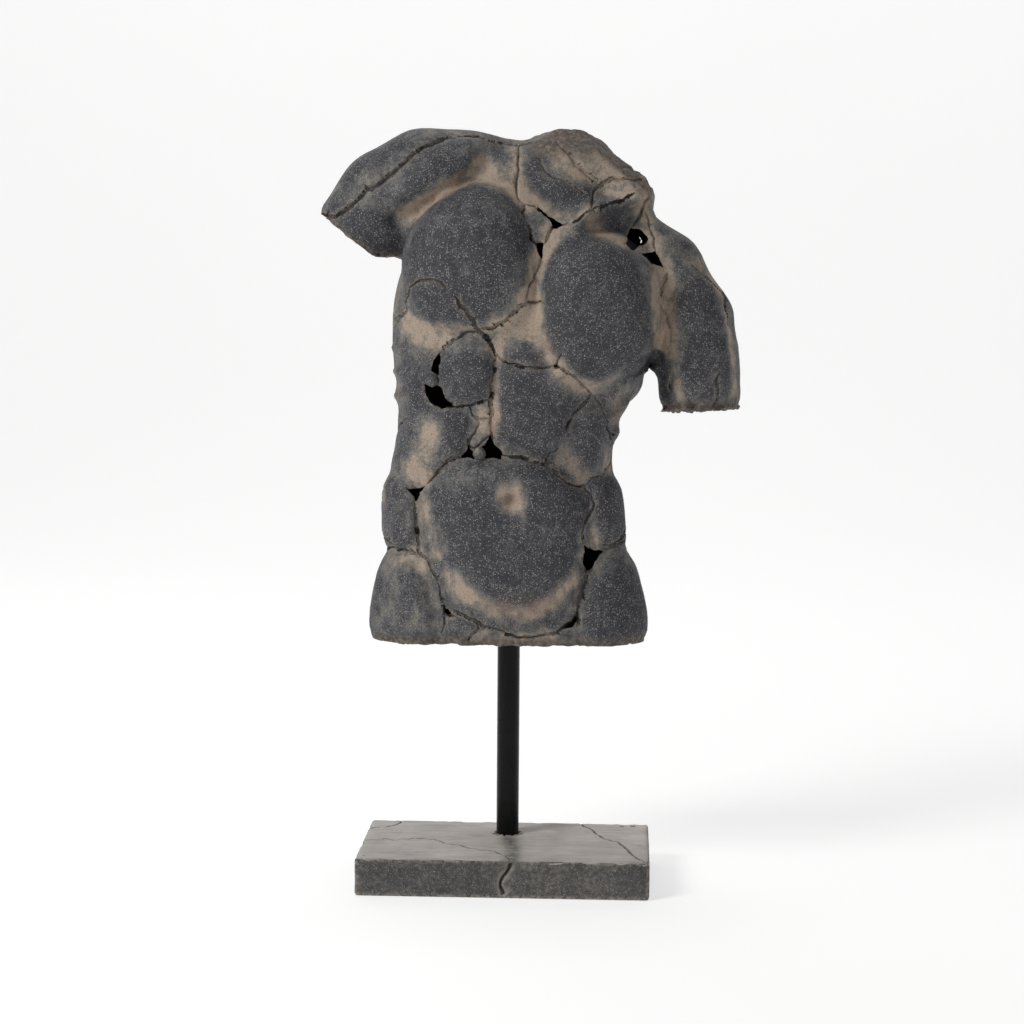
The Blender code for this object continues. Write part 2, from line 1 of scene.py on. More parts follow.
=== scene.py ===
"""The looks of a broken stone torso held above a cracked slab by a black rod.

The torso is worked out from the same muscles as the solid it replaces, on a finer mesh. Its cracks and gaps
are drawn as lines of pixels of the photograph, 1024 by 1024, and laid on the form along the camera's rays.
Places and sizes on the torso are shares of its height in hundredths, measured from the rod's axis at the
torso's underside: x to the statue's left arm, y to its back, z up. Everything else is in metres.
"""

import math
import random
from collections import namedtuple

import bmesh
import bpy
import numpy as np
from mathutils import Euler, Matrix, Vector, noise
from mathutils.bvhtree import BVHTree
from mathutils.kdtree import KDTree


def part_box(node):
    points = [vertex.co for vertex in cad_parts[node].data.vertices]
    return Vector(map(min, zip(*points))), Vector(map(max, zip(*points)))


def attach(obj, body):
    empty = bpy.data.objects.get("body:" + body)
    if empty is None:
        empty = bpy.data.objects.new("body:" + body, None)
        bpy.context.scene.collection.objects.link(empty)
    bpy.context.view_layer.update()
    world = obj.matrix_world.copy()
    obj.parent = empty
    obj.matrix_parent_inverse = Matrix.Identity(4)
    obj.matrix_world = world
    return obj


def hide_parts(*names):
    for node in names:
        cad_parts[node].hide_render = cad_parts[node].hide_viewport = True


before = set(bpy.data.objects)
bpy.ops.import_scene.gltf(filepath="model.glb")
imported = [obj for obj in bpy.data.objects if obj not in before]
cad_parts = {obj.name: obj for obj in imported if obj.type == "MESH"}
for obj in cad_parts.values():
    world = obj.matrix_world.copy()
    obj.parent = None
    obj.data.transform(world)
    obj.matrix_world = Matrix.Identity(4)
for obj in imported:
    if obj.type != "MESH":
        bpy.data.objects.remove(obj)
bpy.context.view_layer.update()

# Camera: the photograph's viewpoint.
CAMERA_PLACE = Vector((0.1011, -2.1407, 0.5277))
CAMERA_YAW = -0.0456
CAMERA_PITCH = 0.0963
CAMERA_ROLL = 0.0068
PHOTO_SIZE = 1024
PHOTO_FOCAL = 2500
SENSOR_WIDTH = 36

# Torso: its place comes from the solids.
TORSO_LOW, TORSO_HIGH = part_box("torso")
ROD_LOW, ROD_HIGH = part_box("rod")
PLINTH_LOW, PLINTH_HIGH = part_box("plinth")
ROD_RADIUS = (ROD_HIGH.x - ROD_LOW.x) / 2
ROD_X, ROD_Y = (ROD_LOW.x + ROD_HIGH.x) / 2, (ROD_LOW.y + ROD_HIGH.y) / 2
FIT_GAP = 0.0003
SEAT_SIDES = 96
TORSO_HEIGHT = 0.445
TORSO_WALL = 0.009
TORSO_FLOOR = 0.034
SHARE = TORSO_HEIGHT / 100
TORSO_PLACE = Vector((ROD_X, ROD_Y, TORSO_LOW.z))

# Mesh sizes, in shares of the torso's height.
OUTER_VOXEL = 0.95
CORE_VOXEL = 2.2
SETTLE_STEPS = 9
STEP_LIMIT = 1.5
CORE_SHRINK = 0.9
ON_FACE = 0.12
NECK_BREAK = 93
CRACK_WIDENING = 1.4
# How far from its line a crack can mark the stone.
CRACK_REACH = 1.6
# The longest edges wanted: at the breaks, in a crack, in its lips and beside them.
ROUGH_EDGE = 0.6
CRACK_EDGE = 0.17
LIP_EDGE = 0.30
BESIDE_EDGE = 0.62
ANY_EDGE = 9
# The stump of the left arm is worn deeper than the other breaks.
ARM_WEAR = 1.7
ARM_INSIDE = 28
# How far from a break its rough edge runs, where it fades out and where it is full.
BREAK_EDGES = {"arm_left": (2.8, 1.2), "arm_right": (1.6, 0.5)}
NO_EDGE = (0.2, 0.1)
# Places well outside the torso, from which rays are cast at its back and its sides.
BEHIND = 60
BESIDE = 80

Section = namedtuple("Section", "z middle half_width front back")
Mass = namedtuple("Mass", "name at radii turn blend")
Bone = namedtuple("Bone", "start end start_radius end_radius depth")
Cut = namedtuple("Cut", "at facing blend")
Limb = namedtuple("Limb", "name bones cuts blend hollow")
Plate = namedtuple("Plate", "name side at half lean taper square lift edge")
Stroke = namedtuple("Stroke", "name side points width lift")
Crack = namedtuple("Crack", "name width depth line")
Gap = namedtuple("Gap", "name reach outline")
Wash = namedtuple("Wash", "name amount width line")

FRONT, BACK = -1, 1
TO_FRONT = Vector((0, -1, 0))

# Cross-sections of the trunk, from below the hips to the neck.
TRUNK_SQUARENESS = 2.3
TRUNK_RINGS = 40
RING_POINTS = 48
LIMB_BALLS = 12
SECTIONS = (
    Section(-3, -0.1, 25.4, -12.6, 14.0),
    Section(6, 0.0, 25.9, -12.9, 14.5),
    Section(13, -0.2, 24.4, -13.0, 14.0),
    Section(20, -0.8, 23.0, -12.6, 12.0),
    Section(28, -1.3, 22.5, -12.2, 10.5),
    Section(36, -1.5, 21.6, -12.0, 10.0),
    Section(43, -0.4, 21.8, -12.6, 11.5),
    Section(52, 1.2, 23.4, -13.4, 13.5),
    Section(62, 2.6, 25.0, -13.8, 15.5),
    Section(71, 3.4, 24.6, -13.2, 16.0),
    Section(79, 3.6, 21.0, -11.4, 15.5),
    Section(86, 4.0, 16.0, -8.6, 13.5),
    Section(93, 5.0, 9.0, -5.0, 10.0),
    Section(97, 6.0, 4.0, -2.0, 7.0),
)
TRUNK_TOP = 97

MASSES = (
    Mass("chest_left", (15.5, -6.6, 65.5), (13.8, 9.0, 16.0), (0, 8, 0), 5),
    Mass("chest_right", (-6.6, -6.4, 73.0), (14.2, 8.6, 15.6), (0, -6, 0), 5),
    Mass("lat_right", (-17.6, 4.0, 61.0), (5.4, 9.0, 16.0), (0, 3, 0), 5),
    Mass("lat_left", (21.2, 4.0, 61.0), (5.2, 9.0, 14.0), (0, -8, 0), 5),
    Mass("scapula_right", (-9.0, 9.2, 77.0), (12.0, 7.4, 14.0), (0, -20, 0), 5),
    Mass("scapula_left", (17.0, 9.2, 72.0), (11.4, 7.4, 14.0), (0, 15, 0), 5),
    Mass("buttock_right", (-11.8, 7.6, 4.0), (12.8, 8.8, 14.4), (0, 0, 0), 3),
    Mass("buttock_left", (11.8, 7.6, 4.0), (12.8, 8.8, 14.4), (0, 0, 0), 3),
)

# Limbs are chains of tapered rounds, cut off where they are broken. The left arm is cast solid.
LIMBS = (
    Limb(
        "arm_right",
        (
            Bone((-9, 4, 88.7), (-17, 4, 88.4), 10.6, 11.2, 0.92),
            Bone((-17, 4, 88.4), (-24, 3, 85.8), 11.2, 10.0, 0.92),
            Bone((-24, 3, 85.8), (-37, 2, 70.0), 10.0, 9.0, 0.95),
        ),
        (
            Cut((-30, 0, 77.4), (-0.614, 0.0, -0.789), 0.8),
            Cut((-26, 0, 74.6), (0.0, 0.0, -1.0), 0.8),
        ),
        3.5,
        True,
    ),
    Limb(
        "arm_left",
        (
            Bone((30.0, 2.5, 71.3), (34.2, 1.8, 62.5), 8.0, 8.9, 1.0),
            Bone((34.2, 1.8, 62.5), (36.4, 1.6, 54.0), 8.9, 7.4, 1.0),
            Bone((35.8, -0.6, 56.0), (37.2, -1.0, 40.0), 7.9, 7.7, 0.9),
            Bone((37.0, 2.6, 56.0), (37.8, 2.0, 40.0), 7.2, 7.6, 0.9),
        ),
        (Cut((37, 0, 45.3), (0.05, -0.1, -1.0), 0.8),),
        2.6,
        False,
    ),
    Limb(
        "girdle",
        (
            Bone((12, 4, 84), (29.4, 2.5, 73.4), 8.4, 7.2, 1.0),
            Bone((3, 4, 89.0), (-9, 4, 88.7), 8.6, 10.4, 0.95),
        ),
        (),
        3.5,
        True,
    ),
    Limb(
        "trapezius_left",
        (Bone((12, 5, 90.5), (24.5, 4, 84.6), 7.2, 6.4, 1.0),),
        (Cut((26.9, 0, 87), (1.0, 0.0, 0.12), 0.7),),
        2.0,
        True,
    ),
    Limb(
        "neck",
        (
            Bone((10.5, 4.5, 82), (11.6, 4.0, 106), 8.4, 8.2, 1.0),
            Bone((13, 4, 93), (22, 2.5, 87.5), 6.6, 5.8, 1.0),
        ),
        (
            Cut((11, 1.0, 99.2), (0.04, -0.60, 0.78), 0.8),
            Cut((6.0, 1.0, 98.6), (-0.42, -0.20, 0.88), 0.8),
            Cut((16.2, 1.0, 97.4), (0.62, -0.20, 0.76), 1.0),
            Cut((11, 5.0, 99.6), (0.02, 0.26, 0.96), 0.8),
        ),
        2.0,
        True,
    ),
)
UNDERSIDE = Cut((0, 0, 0), (0.0, 0.0, -1.0), 2.6)
# The limbs whose cuts are rough breaks: the trapezius only ends in the shoulder.
BROKEN_LIMBS = [limb for limb in LIMBS if limb.name != "trapezius_left"]

# Muscles and plates raised from the form, and low strokes on it, seen square on: (x, z).
PLATES = (
    Plate("breast_right", FRONT, (-7.2, 75.0), (12.4, 14.8), -6, -0.24, 2.7, 2.9, 5.6),
    Plate("breast_left", FRONT, (16.9, 65.6), (11.4, 14.5), 10, -0.12, 2.6, 3.1, 6.0),
    Plate("shoulder_right", FRONT, (-14.2, 91.0), (10.5, 4.7), 36, 0.1, 2.2, 2.0, 3.6),
    Plate("belly_upper_right", FRONT, (-7.7, 53.8), (5.5, 6.8), 3, 0.0, 3.0, 2.0, 3.4),
    Plate("belly_top_left", FRONT, (3.4, 56.7), (4.7, 2.6), -8, 0.0, 2.2, 1.2, 2.4),
    Plate("belly_upper_left", FRONT, (5.6, 46.6), (7.5, 10.4), 3, 0.12, 2.8, 2.3, 3.8),
    Plate("oblique_left", FRONT, (15.8, 41.2), (4.3, 7.8), -3, 0.0, 2.4, 1.7, 3.4),
    Plate("oblique_right", FRONT, (-14.8, 41.2), (7.4, 7.6), 0, 0.1, 2.4, 1.3, 4.0),
    Plate("belly", FRONT, (-0.2, 20.0), (16.2, 17.2), 0, 0.12, 2.5, 1.6, 3.0),
    Plate("belly_middle", FRONT, (0.5, 22.4), (13.0, 14.6), 0, 0.10, 2.5, 1.5, 4.0),
    Plate("flank_right", FRONT, (-22.8, 25.6), (5.6, 7.6), 0, 0.0, 2.6, 1.6, 3.0),
    Plate("flank_left", FRONT, (21.4, 25.8), (5.8, 7.6), 0, 0.0, 2.6, 1.6, 3.0),
    Plate("hip_right", FRONT, (-22.6, 6.0), (8.6, 12.0), 6, -0.12, 2.6, 2.2, 4.0),
    Plate("hip_left", FRONT, (23.6, 7.0), (8.8, 12.6), -6, -0.12, 2.6, 2.2, 4.0),
    Plate("upper_arm_left", FRONT, (36.8, 57.6), (6.3, 14.6), 3, 0.0, 2.6, 1.0, 3.5),
    Plate("shoulder_blade_right", BACK, (-9.8, 75.0), (7.6, 11.5), 14, 0.34, 2.4, 1.1, 3.0),
    Plate("shoulder_blade_left", BACK, (16.4, 71.0), (7.6, 11.5), -14, 0.34, 2.4, 1.1, 3.0),
    Plate("trapezius", BACK, (4.0, 81.0), (7.6, 15.0), 0, 0.2, 2.0, 0.9, 4.0),
    Plate("lat_back_right", BACK, (-12.8, 52.0), (8.4, 16.0), 8, 0.15, 2.3, 1.3, 5.0),
    Plate("lat_back_left", BACK, (14.4, 50.0), (8.4, 15.0), -8, 0.15, 2.3, 1.3, 5.0),
    Plate("erector_right", BACK, (-5.6, 36.0), (4.2, 20.0), -1, 0.1, 2.3, 1.5, 3.4),
    Plate("erector_left", BACK, (4.6, 35.0), (4.2, 20.0), 1, 0.1, 2.3, 1.5, 3.4),
    Plate("buttock_back_right", BACK, (-12.2, 4.0), (11.2, 13.4), 4, 0.0, 2.3, 1.6, 6.0),
    Plate("buttock_back_left", BACK, (12.2, 4.6), (11.2, 13.4), -4, 0.0, 2.3, 1.6, 6.0),
)
STROKES = (
    Stroke("navel", FRONT, ((0.9, 28.7),), 1.6, -2.0),
    Stroke("shoulder_groove", FRONT, ((-22, 82.3), (-13, 86.7), (-4.8, 93.0)), 1.8, -1.5),
    Stroke("rib_right_1", FRONT, ((-23.8, 57.1), (-16.2, 57.6)), 1.3, 1.0),
    Stroke("rib_right_2", FRONT, ((-24.4, 52.9), (-16.6, 52.2)), 1.3, 1.0),
    Stroke("rib_right_3", FRONT, ((-24.4, 48.3), (-18.0, 47.2)), 1.3, 1.0),
    Stroke("rib_left_1", FRONT, ((21.0, 48.8), (27.1, 53.3)), 1.2, 1.0),
    Stroke("rib_left_2", FRONT, ((19.9, 44.0), (26.2, 48.8)), 1.2, 1.0),
    Stroke("rib_left_3", FRONT, ((20.0, 40.1), (25.3, 44.0)), 1.2, 1.0),
    Stroke("collarbone_left", FRONT, ((12.8, 82.2), (23.8, 87.0)), 2.0, 2.2),
    Stroke("collarbone_hollow", FRONT, ((17.0, 80.6), (23.6, 82.4)), 2.4, -2.0),
    Stroke("throat", FRONT, ((4.0, 89.6), (10.7, 83.6)), 2.6, -1.3),
    Stroke("spine", BACK, ((4.6, 88), (3.0, 62), (-0.6, 36), (0, 18)), 1.8, -1.5),
    Stroke("cleft", BACK, ((0, 16), (0, -2)), 1.8, -2.2),
    Stroke("loin", BACK, ((-15, 20), (0, 16.5), (15, 20)), 2.4, -0.8),
)

# Cracks seen in the photograph: half width and depth in shares, then the line in pixels.
FRONT_CRACKS = (
    Crack("shoulder_ridge", 0.26, 0.7, ((319, 214), (335, 217), (345, 210), (358, 199), (373, 187),
        (393, 173), (406, 161), (423, 147), (438, 141), (451, 137), (472, 136), (487, 140), (499, 143),
        (519, 145), (532, 141))),
    Crack("ridge_edge", 0.14, 0.3, ((431, 128), (445, 131), (459, 137))),
    Crack("throat_right", 0.16, 0.5, ((519, 145), (518, 166), (517, 186), (519, 198), (525, 203))),
    Crack("shard_right", 0.16, 0.5, ((525, 203), (523, 213), (528, 223), (531, 238), (536, 244))),
    Crack("shard_left", 0.16, 0.5, ((525, 203), (535, 205), (545, 213), (554, 223), (549, 234),
        (545, 243))),
    Crack("breastbone", 0.17, 0.5, ((541, 258), (536, 273), (530, 286), (526, 301))),
    Crack("breast_edge", 0.20, 0.55, ((547, 306), (539, 301), (529, 302), (516, 312), (504, 322),
        (494, 328), (479, 331), (466, 333), (452, 340), (443, 347), (438, 355))),
    Crack("nipple_arc", 0.15, 0.45, ((400, 316), (404, 307), (406, 299), (409, 287), (416, 282), (429, 279),
        (438, 281), (446, 289))),
    Crack("breast_split", 0.22, 0.6, ((454, 296), (467, 311), (478, 330), (492, 345), (495, 354))),
    Crack("belly_top", 0.15, 0.45, ((495, 354), (507, 363), (521, 367), (539, 368), (555, 367), (567, 373),
        (580, 384), (592, 394))),
    Crack("belly_spur", 0.12, 0.35, ((555, 367), (557, 360), (561, 355))),
    Crack("oblique_inner", 0.18, 0.5, ((592, 394), (585, 403), (573, 415), (568, 425), (567, 433))),
    Crack("oblique_outer", 0.13, 0.35, ((593, 395), (603, 406), (609, 419), (612, 433), (614, 449),
        (610, 465), (603, 476), (592, 478), (586, 485))),
    Crack("middle", 0.18, 0.5, ((495, 354), (494, 376), (492, 392), (490, 401), (492, 410), (491, 429),
        (492, 437))),
    Crack("belly_block_foot", 0.16, 0.5, ((454, 406), (466, 406), (475, 404), (489, 400))),
    Crack("shard_upper", 0.15, 0.45, ((468, 406), (472, 415), (479, 420), (489, 419))),
    Crack("shard_lower", 0.15, 0.45, ((479, 423), (475, 433), (469, 440), (468, 446), (475, 449),
        (484, 440), (491, 433))),
    Crack("belly_edge_right", 0.2, 0.55, ((460, 458), (449, 461), (438, 472), (427, 484))),
    Crack("belly_edge_left", 0.18, 0.5, ((502, 455), (521, 457), (534, 462), (548, 466), (555, 471),
        (562, 478), (571, 484), (585, 485), (591, 495))),
    Crack("oblique_foot", 0.12, 0.35, ((545, 462), (550, 453), (560, 448))),
    Crack("flank_left_edge", 0.18, 0.5, ((591, 495), (594, 504), (590, 513), (585, 523), (584, 543))),
    Crack("hip_left_edge", 0.22, 0.6, ((586, 571), (584, 585), (579, 601), (578, 614), (577, 626))),
    Crack("hip_left_top", 0.18, 0.5, ((604, 551), (617, 547), (630, 540))),
    Crack("flank_right_edge", 0.2, 0.55, ((415, 502), (417, 518), (417, 534), (418, 552), (429, 564),
        (436, 578), (440, 594), (444, 610), (441, 633))),
    Crack("hip_right_top", 0.17, 0.5, ((384, 549), (397, 549), (408, 552), (417, 554))),
    Crack("flank_right_rim", 0.15, 0.4, ((386, 477), (382, 490), (379, 507), (381, 530), (383, 548))),
    Crack("belly_foot", 0.2, 0.55, ((445, 605), (452, 611), (466, 617), (475, 621), (489, 628), (507, 635),
        (525, 637), (544, 635), (557, 633), (573, 621), (578, 614))),
    Crack("foot_shard", 0.16, 0.45, ((445, 614), (454, 617), (462, 622))),
    Crack("foot_shard_side", 0.16, 0.45, ((475, 621), (478, 630), (468, 640))),
    Crack("neck_front", 0.2, 0.5, ((558, 143), (567, 152), (576, 165), (587, 174), (598, 182))),
    Crack("neck_side", 0.18, 0.5, ((643, 177), (628, 178), (613, 178), (604, 183), (595, 189), (593, 198),
        (592, 208))),
    Crack("neck_inner", 0.14, 0.35, ((586, 194), (574, 187), (565, 181), (552, 177), (545, 172),
        (540, 158))),
    Crack("collarbone", 0.16, 0.45, ((569, 225), (580, 218), (591, 209), (604, 206), (619, 202),
        (634, 193))),
    Crack("shoulder_rise", 0.17, 0.5, ((650, 195), (644, 206), (639, 217), (633, 226))),
    Crack("shoulder_fall", 0.15, 0.45, ((645, 213), (650, 226), (655, 237), (656, 250))),
    Crack("armpit_front", 0.22, 0.5, ((667, 273), (664, 284), (661, 295))),
    Crack("arm_rim", 0.18, 0.45, ((714, 278), (723, 289), (725, 308), (728, 325))),
    Crack("arm_pit", 0.26, 0.5, ((671, 377), (670, 390))),
    Crack("arm_nick", 0.2, 0.4, ((721, 371), (717, 385), (718, 401))),
    Crack("armpit_edge", 0.14, 0.35, ((661, 300), (667, 316), (670, 330), (669, 345))),
    Crack("side_right_fold", 0.14, 0.35, ((402, 262), (401, 280), (399, 297), (400, 316), (393, 330),
        (388, 350))),
    Crack("hip_left_side", 0.14, 0.35, ((640, 560), (652, 585), (656, 610))),
)

# Cracks that the photograph doesn't show, on the back: x and z in shares.
BACK_CRACKS = (
    Crack("spine_high", 0.2, 0.55, ((6, 97), (4, 90), (5.2, 82), (3.4, 74), (4.6, 66), (2.4, 58))),
    Crack("blade_right", 0.18, 0.5, ((4.6, 66), (-1, 64.2), (-5.6, 62.6))),
    Crack("blade_right_side", 0.16, 0.45, ((-10.2, 61.5), (-14, 60), (-19, 62.5), (-23, 60))),
    Crack("blade_left", 0.18, 0.5, ((3.4, 74), (10, 70.5), (14, 65), (19, 63.5), (25, 66))),
    Crack("spine_low", 0.2, 0.55, ((2.4, 58), (0, 50), (1.6, 42), (-1.2, 34), (0.6, 26))),
    Crack("waist_right", 0.18, 0.5, ((1.6, 42), (-6, 40), (-12, 43.5), (-17, 40.5), (-22, 42))),
    Crack("waist_left", 0.17, 0.45, ((-1.2, 34), (4, 31), (9.8, 27.2))),
    Crack("flank_back_left", 0.17, 0.45, ((13.6, 26.4), (18, 28.5), (23, 27))),
    Crack("loin", 0.2, 0.55, ((0.6, 26), (-6, 22), (-13, 20.4), (-19, 22.5), (-25, 22))),
    Crack("seat", 0.2, 0.5, ((0.6, 26), (1.2, 19), (0.2, 12), (0.6, 4), (0.2, 0.5))),
    Crack("seat_left", 0.17, 0.45, ((11.6, 24.2), (13, 17), (10.4, 9.5), (12.4, 1))),
    Crack("seat_right", 0.16, 0.45, ((-13, 20.4), (-11.6, 13), (-15, 7), (-14, 0.8))),
    Crack("shoulder_back_right", 0.18, 0.5, ((4, 90), (-4, 86.5), (-12, 86), (-19, 82.5), (-27, 82.5),
        (-33, 85))),
    Crack("shoulder_back_left", 0.17, 0.45, ((10, 88), (15, 83), (21, 81.5), (24.3, 80))),
    Crack("arm_back", 0.17, 0.45, ((26, 76.5), (31, 71), (33, 63), (37.5, 56), (38, 47))),
)

# Gaps broken through the shell, as outlines in pixels, and how far each reaches behind the surface in shares.
GAPS = (
    Gap("throat", 5.5, ((537, 205), (547, 213), (556, 220), (570, 224), (560, 227), (553, 230),
        (550, 221))),
    Gap("breastbone", 5.5, ((536, 243), (544, 243), (543, 252), (541, 260))),
    Gap("rib_slot", 5.5, ((440, 353), (432, 362), (430, 371), (437, 376), (439, 366))),
    Gap("rib", 5.5, ((423, 384), (428, 398), (434, 406), (441, 409), (455, 407), (447, 400), (443, 390),
        (436, 384))),
    Gap("waist_right", 5.5, ((468, 445), (465, 452), (460, 458), (475, 460), (473, 451))),
    Gap("waist_left", 5.5, ((491, 434), (486, 442), (481, 447), (485, 459), (501, 460), (503, 454),
        (496, 446))),
    Gap("flank_right", 5.5, ((406, 487), (416, 488), (426, 485), (420, 493), (415, 502))),
    Gap("hip_left", 5.5, ((584, 545), (594, 550), (605, 551), (597, 560), (592, 569), (586, 571),
        (583, 558))),
    Gap("shoulder", 6.5, ((631, 227), (626, 236), (625, 244), (631, 251), (640, 247), (649, 239),
        (642, 230))),
    Gap("armpit", 6.0, ((639, 253), (650, 252), (656, 250), (660, 258), (665, 268), (651, 265))),
    Gap("belly_point", 3.0, ((553, 365), (557, 364), (558, 368), (554, 369))),
    Gap("foot_right", 3.0, ((443, 606), (449, 609), (452, 614), (447, 616), (444, 612))),
    Gap("foot_left", 3.0, ((576, 614), (578, 621), (573, 627), (564, 629), (570, 622))),
)
# Wedged pebbles: a pixel and a radius in shares. Then the outline, in pixels, where light shows through.
PEBBLES = ((479.4, 453.3, 1.25), (432.3, 380.3, 1.25))
DAYLIGHT = ((638, 234), (645, 239), (643, 245), (640, 246))
BACK_GAPS = (
    Gap("back_upper", 5.5, ((-10.4, 62.0), (-8.0, 63.8), (-5.8, 62.9), (-5.6, 60.6), (-8.6, 59.6))),
    Gap("back_lower", 5.5, ((9.6, 27.2), (12.2, 28.2), (13.8, 26.2), (12.8, 24.4), (10.8, 24.4))),
)

# Slab cracks in pixels: half width and depth in metres.
SLAB_CRACKS = (
    Crack("corner", 0.0007, 0.0020, ((369, 828), (382, 827), (397, 824), (401, 822), (401, 819))),
    Crack("long", 0.0008, 0.0022, ((366, 840), (390, 839), (415, 838), (430, 839), (445, 843), (465, 846),
        (482, 850), (495, 851), (505, 855), (511, 861))),
    Crack("front", 0.0015, 0.0042, ((512, 861), (509, 869), (503, 877), (500, 884), (503, 893),
        (503, 897))),
    Crack("right", 0.0010, 0.0026, ((577, 821), (584, 826), (594, 831), (597, 834), (610, 840), (619, 842),
        (626, 848), (632, 854), (638, 858), (646, 862))),
)

# A crack on the slab's back: x and z in metres.
SLAB_BACK_CRACKS = (
    Crack("back", 0.0009, 0.0026, ((-0.042, 0.034), (-0.040, 0.024), (-0.046, 0.015), (-0.043, 0.004))),
)
# Crumbs of mortar around the rod.
CRUMBS = 30

